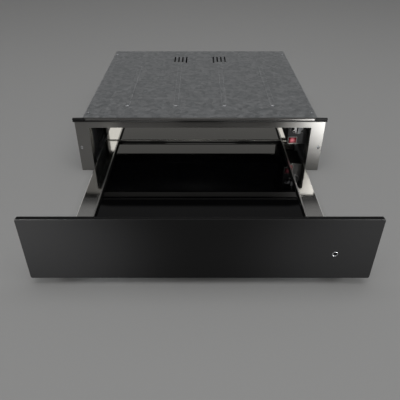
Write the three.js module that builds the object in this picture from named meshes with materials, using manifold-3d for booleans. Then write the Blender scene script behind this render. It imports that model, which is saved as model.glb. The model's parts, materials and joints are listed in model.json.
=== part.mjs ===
// Built-in warming drawer of the 600 mm class, shown pulled open.
// Millimetres, +Z up. X runs to the right, Y to the rear, and the origin is the centre of
// the base plate's underside. A folded steel housing carries the works. The drawer runs on two
// three-member ball slides and is a sideless tray: a steel deck with a recessed glass heating
// plate, a rear wall, and a black front panel that stands on the deck's front edge.
import * as THREE from 'three';
import Module from 'manifold-3d';
import { mergeVertices } from 'three/addons/utils/BufferGeometryUtils.js';

const wasm = await Module();
wasm.setup();

// ---------------------------------------------------------------- driving dimensions
const seat = 0.3; // clearance where one piece rests on another
const sheet = 1.2; // folded steel sheet
const bend = 1; // inner radius of a fold
const holePlay = 0.35; // a hole is this much wider in radius than its screw

// Widths. The front panel is the widest, and each piece behind it is narrower by its margin.
const panelWidth = 595;
const frameMargin = 3.5; // panel beyond the frame, each side
const flangeWidth = 31.3; // frame beside its opening
const housingMargin = 16; // frame beyond the housing, each side
const trayMargin = 9.2; // opening beyond the tray, each side
const deckWidth = 37; // tray's deck beside the recess

// Heights, from the base plate up
const railRise = 1.5; // slide above the base plate's foot
const railHeight = 24;
const railDrop = 1.3; // slide below the deck's sheet
const housingHeight = 136;
const frameRise = 2.5; // frame above the housing
const topFlange = 22.5; // frame above its opening
const panelBottom = 14.6;
const panelRise = 5.5; // panel above the frame

// Depths
const travel = 373.5;
const trayInside = 488; // panel to rear wall
const panelProud = 20; // closed, the panel's face stands this far in front of the frame
const latchDepth = 42.9; // closed drawer to rear panel
const railShort = 38; // slides shorter than the tray
const railStart = 8; // slides behind the frame's face

// Housing
const foldWidth = 14; // flanges that join two housing sheets
const lidSkirt = 18;
const curbHeight = 12;
const beadHeight = 2; // stamped stiffening beads
const beadWidth = 12;
const lidBeads = 4;
const beadFront = 80; // bead's end behind the housing's front
const beadRear = 150; // and before its back, clear of the vents
const coverScrewInset = 40;
const louvres = 6; // in each side panel
const louvrePitch = 14;
const louvreWidth = 6;
const louvreLength = 50;
const louvreBottom = 50;
const louvreInset = 64; // first louvre before the housing's back
const vents = 4; // slots in each group
const lidVentLength = 60;
const lidVentWidth = 5;
const lidVentPitch = 12;
const lidVentInset = 90;
const baseVentLength = 44;
const baseVentWidth = 6;
const baseVentPitch = 14;
const baseVentInset = 62;
const baseVentX = 130;
const rearVentLength = 80;
const rearVentWidth = 5;
const rearVentPitch = 11;
const rearVentBottom = 62;
const rearVentX = 90;

// Front frame, the steel flange round the opening
const frameRim = 7; // outer edge folded back
const sideReturn = 28; // inner edge folded into the housing
const topReturn = 8;
const fixingSlotWidth = 6;
const fixingSlotLength = 10;
const fixingHeight = 63;
const fixingInset = 7.5;
const spacerWidth = 27;
const spacerHeight = 8.5;
const spacerDepth = 6;
const spacerOverhang = 2; // beyond the frame at the side
const spacerRise = 3; // and above it

// Drawer front
const panelDepth = 8.7;
const panelGlass = 6;
const panelCorner = 2.5;
const panelBevel = 0.7;
const carrierInset = 0.4;
const carrierRim = 3;
const lensDiameter = 8;
const lensInset = 69.5;
const lensDrop = 73;

// Tray
const deckSkirt = 7.5;
const frontRim = 12;
const sealWidth = 3.5;
const glassDrop = 4.75; // glass plate below the deck
const glassThickness = 4;
const ledgeWidth = 11;
const sealLip = 0.6;
const panDepth = 23;
const panFlange = 14;
const insulationThickness = 7.5;
const coverRib = 1.3;
const wallHeight = 60;
const wallThickness = 12;
const wallLip = 18;
const gussetHeight = 26;
const gussetLength = 70;
const gussetInset = 8;
const gussetFlange = 16;
const gussetFoot = 12;

// Heating element under the glass plate
const elementRadius = 2.2;
const elementRuns = 8;
const elementSide = 34.5; // first run beside the recess's wall
const elementMargin = 48;
const elementTail = 20; // element's ends into their terminals
const sensorLength = 80;
const sensorRadius = 2;

// Ball slides
const railSheet = 1.2;
const railLip = 1.6;
const railHole = 2.2;
const railHoles = 3;
const railHoleInset = 30;
const innerDepth = 5.6;
const ballChannel = 2.5;
const ballRadius = 0.95;
const cageSheet = 0.5;
const cageInset = 11.625; // cage inside the overlap of its two members
const ballsPerRow = 4;
const bracketSheet = 1.5;
const bracketFoot = 18;
const bracketShort = 4;
const bracketWindows = 4;

// Controls
const controlGap = 1.7; // control box beside the opening's edge
const controlWidth = 45;
const controlClearance = 2.8; // above the front brackets, which pass under it
const controlSetback = 30; // behind the frame's face
const controlDepth = 68;
const fasciaThickness = 2;
const knobInset = 22;
const knobRise = 47.4;
const knobDiameter = 38;
const knobHeight = 15;
const gripDiameter = 27;
const shaftRadius = 3;
const bushRadius = 5;
const thermostatDiameter = 31;
const thermostatDepth = 24;
const switchInset = 33;
const switchRise = 10.4;
const switchWidth = 23;
const switchHeight = 18;
const switchDepth = 20;
const bezelThickness = 1.6;
const rockerAngle = 6; // tilt either way, in degrees

// Latch, mains connection and small parts
const latchDrop = 8.5; // below the rear wall's top
const latchWidth = 26;
const latchHeight = 24;
const plungerRadius = 5;
const plungerTravel = 6;
const plungerLength = 28;
const strikerWidth = 24;
const strikerHeight = 15;
const strikerDepth = 6;
const glandInset = 58;
const glandZ = 40;
const glandRadius = 10;
const cableRadius = 4.5;
const terminalRise = 22; // above the gland
const terminalPitch = 16;
const screwRadius = 2;
const screwHead = 4;
const screwHeadHeight = 1.9;
const bumperRadius = 6;
const bumperInset = 16;
const bumperZ = 30;

// ---------------------------------------------------------------- places worked out from them
const frameHalf = panelWidth / 2 - frameMargin;
const openingHalf = frameHalf - flangeWidth;
const lidHalf = frameHalf - housingMargin;
const trayHalf = openingHalf - trayMargin;
const recessHalf = trayHalf - deckWidth;
const frameHeight = housingHeight + frameRise;
const openingTop = frameHeight - topFlange;
const panelTop = frameHeight + panelRise;
const railMiddle = sheet + seat + railRise + railHeight / 2;
const deckTop = railMiddle + railHeight / 2 + railDrop + sheet;

const closedDepth = panelDepth + seat + trayInside + wallThickness;
const housingDepth = closedDepth - panelProud + seat + strikerDepth + seat + latchDepth
  + seat + sheet;
const frontY = -housingDepth / 2;
const backY = housingDepth / 2;
const rearInner = backY - sheet - seat;
const sideOuter = lidHalf - sheet - seat;
const sideInner = sideOuter - sheet;
const curbOuter = sideInner - seat;
const rearHalf = curbOuter - sheet - seat;
const lidUnderside = housingHeight - sheet;
const foldTop = lidUnderside - seat;

const panelFace = frontY - panelProud - travel;
const panelBack = panelFace + panelDepth;
const carrierFront = panelFace + panelGlass + seat;
const trayFront = panelBack + seat;
const wallFace = trayFront + trayInside;
const trayBack = wallFace + wallThickness;
const recessFront = trayFront + frontRim;
const glassHalf = recessHalf - sealWidth;
const glassTop = deckTop - glassDrop;
const glassBottom = glassTop - glassThickness;
const ledgeTop = glassBottom - seat - sealLip - seat;
const panBottom = deckTop - panDepth;
const insulationTop = panBottom + sheet + seat + insulationThickness;
const gussetX = trayHalf - gussetInset;

const railX = recessHalf + sheet + seat;
const railLength = trayInside - railShort;
const cageLength = railLength - travel / 2 - 2 * cageInset;
const cageInnerX = railX + innerDepth + seat + cageSheet / 2;
const middleX = cageInnerX + cageSheet / 2 + seat + railSheet / 2;
const cageOuterX = middleX + railSheet / 2 + seat + cageSheet / 2;
const outerX = cageOuterX + cageSheet / 2 + seat + railSheet / 2;
const bracketX = outerX + railSheet / 2 + seat + bracketSheet / 2;
const outerHalf = railHeight / 2;
const middleHalf = outerHalf - railSheet - ballChannel;
const innerHalf = middleHalf - railSheet - ballChannel;
const railFront = frontY + railStart;

const fasciaFace = frontY + controlSetback;
const fasciaBack = fasciaFace + fasciaThickness;
const controlRight = openingHalf - controlGap;
const controlLeft = controlRight - controlWidth;
const controlBottom = deckTop + seat + gussetHeight + controlClearance;
const knobX = controlRight - knobInset;
const knobZ = controlBottom + knobRise;
const switchX = controlRight - switchInset;
const switchZ = controlBottom + switchRise;
const latchTip = trayBack + travel + seat + strikerDepth + seat;
const latchZ = deckTop + wallHeight - latchDrop;
const glandX = glandInset - lidHalf;
const lensX = panelWidth / 2 - lensInset;
const lensZ = panelTop - lensDrop;

// ---------------------------------------------------------------- finishes
const finish = (color, roughness, metalness) =>
  new THREE.MeshStandardMaterial({ color, roughness, metalness });
const finishes = {
  blackGlass: finish('#1c1c1d', 0.35, 0),
  heatGlass: finish('#08090a', 0.06, 0),
  brushedSteel: finish('#9b9a97', 0.28, 1),
  galvanised: finish('#8f9396', 0.5, 0.9),
  railSteel: finish('#b4b7ba', 0.35, 1),
  blackSheet: finish('#17181a', 0.55, 0.2),
  blackPlastic: finish('#141415', 0.45, 0),
  rubber: finish('#0f0f10', 0.85, 0),
  redLens: finish('#c4313a', 0.25, 0),
  whitePlastic: finish('#d8d5cc', 0.5, 0),
  mineralFibre: finish('#c9c3b2', 0.95, 0),
  elementSteel: finish('#6d6560', 0.5, 0.8),
  knobMetal: finish('#7d7e80', 0.35, 0.9),
};

// ---------------------------------------------------------------- shapes
const direction = (a, b) => {
  const length = Math.hypot(b[0] - a[0], b[1] - a[1]);
  return [(b[0] - a[0]) / length, (b[1] - a[1]) / length];
};

// A closed outline through [u, v, radius] corners, each rounded by a true arc.
function outline(corners) {
  const shape = new THREE.Shape();
  corners.forEach((corner, i) => {
    const [u, v, radius = 0] = corner;
    const before = direction(corners[(i + corners.length - 1) % corners.length], corner);
    const after = direction(corner, corners[(i + 1) % corners.length]);
    const turn = Math.atan2(
      before[0] * after[1] - before[1] * after[0],
      before[0] * after[0] + before[1] * after[1],
    );
    if (radius === 0 || Math.abs(turn) < 1e-6) {
      if (i === 0) shape.moveTo(u, v);
      else shape.lineTo(u, v);
      return;
    }
    const side = Math.sign(turn);
    const run = radius * Math.tan(Math.abs(turn) / 2);
    const start = [u - before[0] * run, v - before[1] * run];
    const centre = [start[0] - before[1] * radius * side, start[1] + before[0] * radius * side];
    const from = Math.atan2(start[1] - centre[1], start[0] - centre[0]);
    if (i === 0) shape.moveTo(start[0], start[1]);
    else shape.lineTo(start[0], start[1]);
    shape.absarc(centre[0], centre[1], radius, from, from + turn, side < 0);
  });
  return shape;
}

// A folded sheet's section: the centre line's corners become bends of even thickness.
function strip(path, thickness = sheet, inner = bend) {
  const edge = (sign) => path.map((p, i) => {
    const into = i > 0 ? direction(path[i - 1], p) : direction(p, path[i + 1]);
    const out = i < path.length - 1 ? direction(p, path[i + 1]) : into;
    const mitre = [-(into[1] + out[1]) * sign, (into[0] + out[0]) * sign];
    const scale = thickness / 2 / (1 + into[0] * out[0] + into[1] * out[1]);
    const turn = into[0] * out[1] - into[1] * out[0];
    const radius = Math.abs(turn) < 1e-6 ? 0 : inner + (turn * sign > 0 ? 0 : thickness);
    return [p[0] + mitre[0] * scale, p[1] + mitre[1] * scale, radius];
  });
  return outline([...edge(1), ...edge(-1).reverse()]);
}

const rectangle = (u0, u1, v0, v1, radius = 0) =>
  outline([[u0, v0, radius], [u1, v0, radius], [u1, v1, radius], [u0, v1, radius]]);

const withHoles = (shape, ...holes) => {
  shape.holes.push(...holes);
  return shape;
};

const extrude = (shape, depth, options = {}) =>
  new THREE.ExtrudeGeometry(shape, { depth, bevelEnabled: false, curveSegments: 1, ...options });

// Sections drawn in XZ, YZ and XY, extruded along the third axis.
const alongY = (shape, y0, y1, options) =>
  extrude(shape, y1 - y0, options).rotateX(Math.PI / 2).translate(0, y1, 0);
const yzToX = new THREE.Matrix4().makeBasis(
  new THREE.Vector3(0, 1, 0), new THREE.Vector3(0, 0, 1), new THREE.Vector3(1, 0, 0),
);
const alongX = (shape, x0, x1, options) =>
  extrude(shape, x1 - x0, options).applyMatrix4(yzToX).translate(x0, 0, 0);
const alongZ = (shape, z0, z1, options) => extrude(shape, z1 - z0, options).translate(0, 0, z0);

const slab = (x0, x1, y0, y1, z0, z1) =>
  new THREE.BoxGeometry(x1 - x0, y1 - y0, z1 - z0)
    .translate((x0 + x1) / 2, (y0 + y1) / 2, (z0 + z1) / 2);

// Round bars along each axis, and a lathe-turned piece whose axis points along +Y.
const rodX = (radius, x0, x1, y, z, sides = 10) =>
  new THREE.CylinderGeometry(radius, radius, x1 - x0, sides)
    .rotateZ(Math.PI / 2).translate((x0 + x1) / 2, y, z);
const rodY = (radius, y0, y1, x, z, sides = 10) =>
  new THREE.CylinderGeometry(radius, radius, y1 - y0, sides).translate(x, (y0 + y1) / 2, z);
const rodZ = (radius, z0, z1, x, y, sides = 10) =>
  new THREE.CylinderGeometry(radius, radius, z1 - z0, sides)
    .rotateX(Math.PI / 2).translate(x, y, (z0 + z1) / 2);
const turned = (profile, x, y, z, sides = 16) =>
  new THREE.LatheGeometry(profile.map(([r, h]) => new THREE.Vector2(r, h)), sides)
    .translate(x, y, z);

// ---------------------------------------------------------------- joining and cutting
function bare(geometry) {
  const copy = geometry.clone();
  copy.deleteAttribute('normal');
  copy.deleteAttribute('uv');
  return mergeVertices(copy, 1e-4);
}

function solid(geometry) {
  const merged = bare(geometry);
  return new wasm.Manifold(new wasm.Mesh({
    numProp: 3,
    vertProperties: new Float32Array(merged.attributes.position.array),
    triVerts: new Uint32Array(merged.index.array),
  }));
}

function geometryOf(body) {
  const mesh = body.getMesh();
  const geometry = new THREE.BufferGeometry();
  const points = new Float32Array(mesh.vertProperties);
  geometry.setAttribute('position', new THREE.BufferAttribute(points, 3));
  geometry.setIndex(new THREE.BufferAttribute(new Uint32Array(mesh.triVerts), 1));
  geometry.computeVertexNormals();
  return geometry;
}

const join = (...pieces) =>
  geometryOf(pieces.map(solid).reduce((body, piece) => body.add(piece)));
const cut = (piece, ...tools) =>
  geometryOf(tools.map(solid).reduce((body, tool) => body.subtract(tool), solid(piece)));

// The left-hand copy of a right-hand piece.
function mirrored(geometry) {
  const copy = bare(geometry);
  copy.scale(-1, 1, 1);
  const corners = copy.index.array;
  for (let i = 0; i < corners.length; i += 3) {
    [corners[i + 1], corners[i + 2]] = [corners[i + 2], corners[i + 1]];
  }
  copy.computeVertexNormals();
  return copy;
}

// ---------------------------------------------------------------- the model
const warmingDrawer = new THREE.Group();

function part(name, geometry, material) {
  const mesh = new THREE.Mesh(geometry, material);
  mesh.name = name;
  warmingDrawer.add(mesh);
}

function pair(name, geometry, material) {
  part(`${name}_right`, geometry, material);
  part(`${name}_left`, mirrored(geometry), material);
}

// Rounded slots in a row, as tools that cut through a sheet lying in XY.
function slotRow(count, pitch, x, y, length, width, z0, z1) {
  return Array.from({ length: count }, (_, i) => {
    const at = x + (i - (count - 1) / 2) * pitch;
    const shape = rectangle(at - width / 2, at + width / 2, y - length / 2, y + length / 2,
      width / 2 - 0.01);
    return alongZ(shape, z0, z1);
  });
}

// A stamped bead: a low rounded ridge that stands on z, along Y.
function bead(x, y, length, z, height, width) {
  const bevel = height * 0.6;
  const half = width / 2 - bevel;
  const reach = length / 2 - bevel;
  const shape = rectangle(x - half, x + half, y - reach, y + reach, half - 0.01);
  return extrude(shape, height - bevel, {
    bevelEnabled: true, bevelThickness: bevel, bevelSize: bevel, bevelSegments: 1,
  }).translate(0, 0, z);
}

function basePlate() {
  const curb = curbOuter - sheet / 2;
  const section = strip([[-curb, curbHeight], [-curb, sheet / 2], [curb, sheet / 2],
    [curb, curbHeight]]);
  const plate = alongY(section, frontY + sheet + seat, rearInner);
  const slots = [-baseVentX, baseVentX].flatMap((x) => slotRow(vents, baseVentPitch, x,
    backY - baseVentInset, baseVentLength, baseVentWidth, -1, sheet + 1));
  part('base_plate', cut(plate, ...slots), finishes.galvanised);
}

function sidePanels() {
  const middle = sideOuter - sheet / 2;
  const wall = strip([[middle, 0], [middle, foldTop - sheet / 2],
    [middle - foldWidth, foldTop - sheet / 2]]);
  const front = frontY + sheet + seat;
  const panel = alongY(wall, front, backY);
  const flange = strip([[middle, front + foldWidth], [middle, front + sheet / 2],
    [frameHalf - sheet - 2 * seat, front + sheet / 2]]);
  const flangeTop = housingHeight - lidSkirt - sheet;
  const joined = join(panel, alongZ(flange, 0, flangeTop));
  const screws = coverScrewPlaces().slice(0, 2).map(([x, y]) =>
    rodZ(screwRadius + holePlay, foldTop - 5, foldTop + 5, x, y, 8));
  const openings = Array.from({ length: louvres }, (_, i) => {
    const y = backY - louvreInset - i * louvrePitch;
    return alongX(rectangle(y - louvreWidth, y, louvreBottom, louvreBottom + louvreLength,
      louvreWidth / 2 - 0.1), middle - 5, middle + 5);
  });
  pair('side_panel', cut(joined, ...screws, ...openings, fixingSlot(5)), finishes.galvanised);
}

// The slot for the screw that holds the housing where it is built in.
function fixingSlot(reach) {
  const x = frameHalf - fixingInset;
  return alongY(
    rectangle(x - fixingSlotWidth / 2, x + fixingSlotWidth / 2,
      fixingHeight - fixingSlotLength / 2, fixingHeight + fixingSlotLength / 2,
      fixingSlotWidth / 2 - 0.01),
    frontY - reach, frontY + reach,
  );
}

function rearPanel() {
  const y = backY - sheet / 2;
  const half = rearHalf - sheet / 2;
  const section = strip([[-half, y - foldWidth], [-half, y], [half, y], [half, y - foldWidth]]);
  const panel = alongZ(section, sheet + seat, foldTop - sheet - seat);
  const slots = [-rearVentX, rearVentX].flatMap((x) => Array.from({ length: vents }, (_, i) => {
    const z = rearVentBottom + i * rearVentPitch;
    return alongY(rectangle(x - rearVentLength / 2, x + rearVentLength / 2, z,
      z + rearVentWidth, rearVentWidth / 2 - 0.1), backY - 8, backY + 8);
  }));
  const outlet = rodY(glandRadius + holePlay, backY - 8, backY + 8, glandX, glandZ, 20);
  part('rear_panel', cut(panel, ...slots, outlet), finishes.galvanised);
}

function topCover() {
  const edge = lidHalf - sheet / 2;
  const top = housingHeight - sheet / 2;
  const section = strip([[-edge, housingHeight - lidSkirt], [-edge, top], [edge, top],
    [edge, housingHeight - lidSkirt]]);
  const front = frontY + 2 * (sheet + seat);
  const cover = alongY(section, front, backY);
  const pitch = 2 * lidHalf / (lidBeads + 0.6);
  const middle = (beadFront - beadRear) / 2;
  const length = housingDepth - beadFront - beadRear;
  const spread = (i) => (i - (lidBeads - 1) / 2) * pitch;
  const beads = Array.from({ length: lidBeads }, (_, i) =>
    bead(spread(i), middle, length, housingHeight - 0.1, beadHeight + 0.1, beadWidth));
  const grooves = Array.from({ length: lidBeads }, (_, i) =>
    bead(spread(i), middle, length - 2 * sheet, lidUnderside - 0.01, beadHeight,
      beadWidth - 2 * sheet));
  const slots = [-pitch / 2, pitch / 2].flatMap((x) => slotRow(vents, lidVentPitch, x,
    backY - lidVentInset, lidVentLength, lidVentWidth, lidUnderside - 5, housingHeight + 5));
  const holes = coverScrewPlaces().map(([x, y]) =>
    rodZ(screwRadius + holePlay, lidUnderside - 5, housingHeight + 5, x, y, 8));
  part('top_cover', cut(join(cover, ...beads), ...grooves, ...slots, ...holes),
    finishes.galvanised);
}

function coverScrewPlaces() {
  const x = sideOuter - foldWidth / 2 - 1;
  const front = frontY + sheet + seat + coverScrewInset;
  const back = backY - coverScrewInset;
  return [[x, front], [x, back], [-x, front], [-x, back]];
}

// A pan-head screw whose head sits on z, pointing down.
const screwProfile = (shank) => [
  [0, -shank], [screwRadius - 0.4, -shank], [screwRadius, 0.6 - shank], [screwRadius, 0],
  [screwHead, 0], [screwHead, screwHeadHeight * 0.5], [screwHead * 0.62, screwHeadHeight],
  [0, screwHeadHeight],
];

function coverScrews() {
  coverScrewPlaces().forEach(([x, y], i) => {
    const screw = turned(screwProfile(8), 0, 0, 0, 8).rotateX(Math.PI / 2)
      .translate(x, y, housingHeight + seat);
    part(`cover_screw_${i + 1}`, screw, finishes.railSteel);
  });
}

function frontFrame() {
  const inner = outline([
    [-openingHalf, seat], [-openingHalf, openingTop, 2], [openingHalf, openingTop, 2],
    [openingHalf, seat], [frameHalf, seat], [frameHalf, frameHeight, 3],
    [-frameHalf, frameHeight, 3], [-frameHalf, seat],
  ]);
  const plate = alongY(inner, frontY, frontY + sheet, { curveSegments: 2 });
  const hoop = (half, top, bottom, outside) => strip(
    [[-half, bottom], [-half, top], [half, top], [half, bottom]], sheet, outside);
  const rim = alongY(hoop(frameHalf - sheet / 2, frameHeight - sheet / 2, seat, 1.8),
    frontY + 0.2, frontY + frameRim);
  const sides = alongY(hoop(openingHalf + sheet / 2, openingTop + sheet / 2, sheet + seat, 2),
    frontY + 0.2, frontY + topReturn);
  const deep = [-1, 1].map((side) => {
    const x = side * (openingHalf + sheet / 2);
    return slab(x - sheet / 2, x + sheet / 2, frontY + topReturn - 0.1, frontY + sideReturn,
      sheet + seat, openingTop);
  });
  const frame = join(plate, rim, sides, ...deep);
  const slot = fixingSlot(4);
  part('front_frame', cut(frame, slot, mirrored(slot)), finishes.brushedSteel);
}

function cornerSpacers() {
  const top = frameHeight + spacerRise;
  const back = frontY - seat;
  const groove = 2.2;
  const section = outline([
    [back, top - spacerHeight], [back, top],
    [back - spacerDepth, top, 0.8], [back - spacerDepth, top - 3.2],
    [back - spacerDepth + groove, top - 3.2], [back - spacerDepth + groove, top - 5.3],
    [back - spacerDepth, top - 5.3], [back - spacerDepth, top - spacerHeight, 0.8],
  ]);
  const outer = frameHalf + spacerOverhang;
  pair('corner_spacer', alongX(section, outer - spacerWidth, outer), finishes.rubber);
}

// ---------------------------------------------------------------- ball slides
const railSection = (webX, half, lipX, thickness) => strip([
  [lipX, railMiddle + half - thickness / 2], [webX, railMiddle + half - thickness / 2],
  [webX, railMiddle - half + thickness / 2], [lipX, railMiddle - half + thickness / 2],
], thickness, thickness * 0.8);

function rail(section, webX, start) {
  const bar = alongY(section, start, start + railLength);
  const pitch = (railLength - 2 * railHoleInset) / (railHoles - 1);
  const holes = Array.from({ length: railHoles }, (_, i) =>
    rodX(railHole, webX - 1.5, webX + 1.5, start + railHoleInset + i * pitch, railMiddle, 8));
  return cut(bar, ...holes);
}

// Cage strip between two rails, with its balls standing proud on both faces.
function ballCage(webX, trackHalf, lipX, start) {
  const section = railSection(webX, trackHalf + cageSheet / 2, lipX, cageSheet);
  const ballX = railX + innerDepth * 0.62;
  const balls = [-1, 1].flatMap((side) => Array.from({ length: ballsPerRow }, (_, i) => {
    const y = start + cageLength * (i + 0.5) / ballsPerRow;
    return new THREE.SphereGeometry(ballRadius, 6, 3)
      .translate(ballX, y, railMiddle + side * trackHalf);
  }));
  return join(alongY(section, start, start + cageLength), ...balls);
}

function slides() {
  const lip = railX + railLip;
  const middleStart = railFront - travel / 2;
  const innerStart = railFront - travel;
  pair('rail_outer', rail(railSection(outerX, outerHalf, lip, railSheet), outerX, railFront),
    finishes.railSteel);
  pair('rail_middle', rail(railSection(middleX, middleHalf, lip, railSheet), middleX,
    middleStart), finishes.railSteel);
  pair('rail_inner', rail(
    railSection(railX + railSheet / 2, innerHalf, railX + innerDepth, railSheet),
    railX + railSheet / 2, innerStart), finishes.railSteel);
  pair('ball_cage_outer', ballCage(cageOuterX, middleHalf + ballChannel / 2, lip,
    railFront + cageInset), finishes.brushedSteel);
  pair('ball_cage_inner', ballCage(cageInnerX, innerHalf + ballChannel / 2, lip,
    middleStart + cageInset), finishes.brushedSteel);
}

// Upright angle that carries each slide's outer member on the base plate.
function railBrackets() {
  const foot = sheet + seat + bracketSheet / 2;
  const section = strip([[bracketX, railMiddle + outerHalf], [bracketX, foot],
    [bracketX + bracketFoot, foot]], bracketSheet);
  const bracket = alongY(section, railFront + bracketShort,
    railFront + railLength - bracketShort);
  const pitch = railLength / bracketWindows;
  const windows = Array.from({ length: bracketWindows }, (_, i) => {
    const y = railFront + pitch * (i + 0.5);
    return alongX(rectangle(y - pitch * 0.3, y + pitch * 0.3, railMiddle - 5, railMiddle + 6, 5),
      bracketX - 3, bracketX + 3);
  });
  pair('rail_bracket', cut(bracket, ...windows), finishes.galvanised);
}

// ---------------------------------------------------------------- drawer
const ring = (halfOut, yOut0, yOut1, width) => withHoles(
  rectangle(-halfOut, halfOut, yOut0, yOut1),
  rectangle(-halfOut + width, halfOut - width, yOut0 + width, yOut1 - width),
);

function tray() {
  const deck = deckTop - sheet / 2;
  const wall = recessHalf + sheet / 2;
  const lip = ledgeTop + seat;
  const skirt = trayHalf - sheet / 2;
  const wing = alongY(strip([
    [skirt, deckTop - deckSkirt], [skirt, deck], [wall, deck], [wall, lip],
  ]), trayFront, trayBack);
  const apron = trayFront + sheet / 2;
  const recess = recessFront - sheet / 2;
  const front = alongX(strip([
    [apron, deckTop - 2 * deckSkirt], [apron, deck], [recess, deck], [recess, lip],
  ]), -wall, wall);
  const rear = alongX(strip([
    [trayBack - sheet / 2, deckTop - deckSkirt], [trayBack - sheet / 2, deck],
    [wallFace + sheet / 2, deck], [wallFace + sheet / 2, lip],
  ]), -wall, wall);
  part('tray', join(wing, mirrored(wing), front, rear), finishes.brushedSteel);
}

// The pan under the deck. Its upper flange carries the deck's lip and the glass, and its lower
// flange the insulation.
function heaterPan() {
  const floor = panBottom + sheet / 2;
  const shelf = ledgeTop - sheet / 2;
  const wall = recessHalf + sheet / 2;
  const front = recessFront - sheet / 2;
  const back = wallFace + sheet / 2;
  const side = alongY(strip([
    [wall - panFlange, floor], [wall, floor], [wall, shelf], [recessHalf - ledgeWidth, shelf],
  ]), front, back);
  const near = alongX(strip([
    [front + panFlange, floor], [front, floor], [front, shelf], [recessFront + ledgeWidth, shelf],
  ]), -wall, wall);
  const far = alongX(strip([
    [back - panFlange, floor], [back, floor], [back, shelf], [wallFace - ledgeWidth, shelf],
  ]), -wall, wall);
  part('heater_pan', join(side, mirrored(side), near, far), finishes.galvanised);
}

function heatingPlate() {
  const front = recessFront + sealWidth;
  const back = wallFace - sealWidth;
  const plate = rectangle(-glassHalf + 1, glassHalf - 1, front + 1, back - 1, 2);
  const bevel = { bevelEnabled: true, bevelThickness: 0.5, bevelSize: 1, bevelSegments: 1 };
  part('heating_glass', extrude(plate, glassThickness - 1, bevel)
    .translate(0, 0, glassBottom + 0.5), finishes.heatGlass);
  const outer = recessHalf - seat;
  const upright = alongZ(ring(outer, recessFront + seat, wallFace - seat,
    sealWidth - 2 * seat), ledgeTop + seat, glassTop);
  const lip = alongZ(ring(outer, recessFront + seat, wallFace - seat, ledgeWidth - 1),
    ledgeTop + seat, ledgeTop + seat + sealLip);
  part('glass_seal', join(upright, lip), finishes.rubber);
}

// Half turn of the heating element between two neighbouring runs.
class HalfTurn extends THREE.Curve {
  constructor(x, y, z, radius, side) {
    super();
    Object.assign(this, { x, y, z, radius, side });
  }

  getPoint(t) {
    const angle = Math.PI * t;
    return new THREE.Vector3(
      this.x - this.radius * Math.cos(angle),
      this.y + this.side * this.radius * Math.sin(angle),
      this.z,
    );
  }
}

function heatingElement() {
  const z = insulationTop + seat + elementRadius;
  const y0 = recessFront + elementMargin;
  const y1 = wallFace - elementMargin;
  const section = new THREE.Shape().absarc(0, 0, elementRadius, 0, 2 * Math.PI);
  const pitch = 2 * (recessHalf - elementSide) / (elementRuns - 1);
  const x = (i) => (i - (elementRuns - 1) / 2) * pitch;
  const runs = Array.from({ length: elementRuns }, (_, i) => {
    const last = i === 0 || i === elementRuns - 1;
    return rodY(elementRadius, y0 - 0.5, y1 + (last ? elementTail : 0.5), x(i), z, 6);
  });
  const turns = Array.from({ length: elementRuns - 1 }, (_, i) => {
    const side = i % 2 === 0 ? -1 : 1;
    const turn = new HalfTurn(x(i) + pitch / 2, side < 0 ? y0 : y1, z, pitch / 2, side);
    return new THREE.ExtrudeGeometry(section, {
      steps: 5, curveSegments: 3, bevelEnabled: false, extrudePath: turn,
    });
  });
  part('heating_element', join(...runs, ...turns), finishes.elementSteel);

  const end = x(elementRuns - 1);
  const tail = y1 + elementTail;
  const block = cut(
    alongZ(rectangle(end - 7, end + 7, tail - 8, tail + 14, 2), insulationTop + seat,
      glassBottom - seat),
    rodY(elementRadius + holePlay, tail - 10, tail + 2, end, z, 12),
    rodZ(1.5, z, glassBottom + 2, end, tail + 8, 10),
  );
  pair('element_terminal', block, finishes.whitePlastic);
}

function trayInternals() {
  const edge = 1.5;
  part('insulation_mat', slab(-recessHalf + edge, recessHalf - edge, recessFront + edge,
    wallFace - edge, panBottom + sheet + seat, insulationTop), finishes.mineralFibre);
  const coverTop = panBottom - seat;
  const plate = alongZ(rectangle(-recessHalf + 2, recessHalf - 2, recessFront + 2, wallFace - 2,
    4), coverTop - sheet, coverTop);
  const ribs = [-1, 0, 1].map((i) =>
    bead(i * recessHalf * 0.55, (recessFront + wallFace) / 2, trayInside * 0.75,
      coverTop - 0.1, coverRib, beadWidth));
  part('pan_cover', join(plate, ...ribs), finishes.galvanised);
  const reach = sensorLength / 2;
  part('temperature_sensor', turned([
    [0, -reach], [sensorRadius - 0.6, -reach], [sensorRadius, 1 - reach],
    [sensorRadius, reach - 6], [0.9, reach], [0, reach],
  ], 0, (recessFront + wallFace) / 2, insulationTop + seat + sensorRadius, 12),
  finishes.railSteel);
}

function rearWall() {
  const bottom = deckTop + seat + sheet / 2;
  const top = deckTop + seat + wallHeight - sheet / 2;
  const face = wallFace + sheet / 2;
  const back = trayBack - sheet / 2;
  const section = strip([[back, bottom], [face, bottom], [face, top], [back, top],
    [back, top - wallLip]], sheet, 1.5);
  const wall = alongX(section, -trayHalf, trayHalf);
  const ends = [-trayHalf, trayHalf - sheet].map((x) =>
    slab(x, x + sheet, face, back, bottom, top));
  part('rear_wall', join(wall, ...ends), finishes.brushedSteel);
  const strikerTop = top - 1.5;
  const striker = alongZ(rectangle(-strikerWidth / 2, strikerWidth / 2, trayBack + seat,
    trayBack + seat + strikerDepth, 1.5), strikerTop - strikerHeight, strikerTop);
  part('latch_striker', striker, finishes.blackPlastic);
}

// Screws that hold the brackets to the front carrier: x, z of each axis.
const frontScrewPlaces = [1, -1].flatMap((side) => [
  [side * (gussetX + gussetFlange / 2), deckTop + 9],
  [side * (gussetX + gussetFlange / 2), deckTop + 20],
]);

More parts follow.
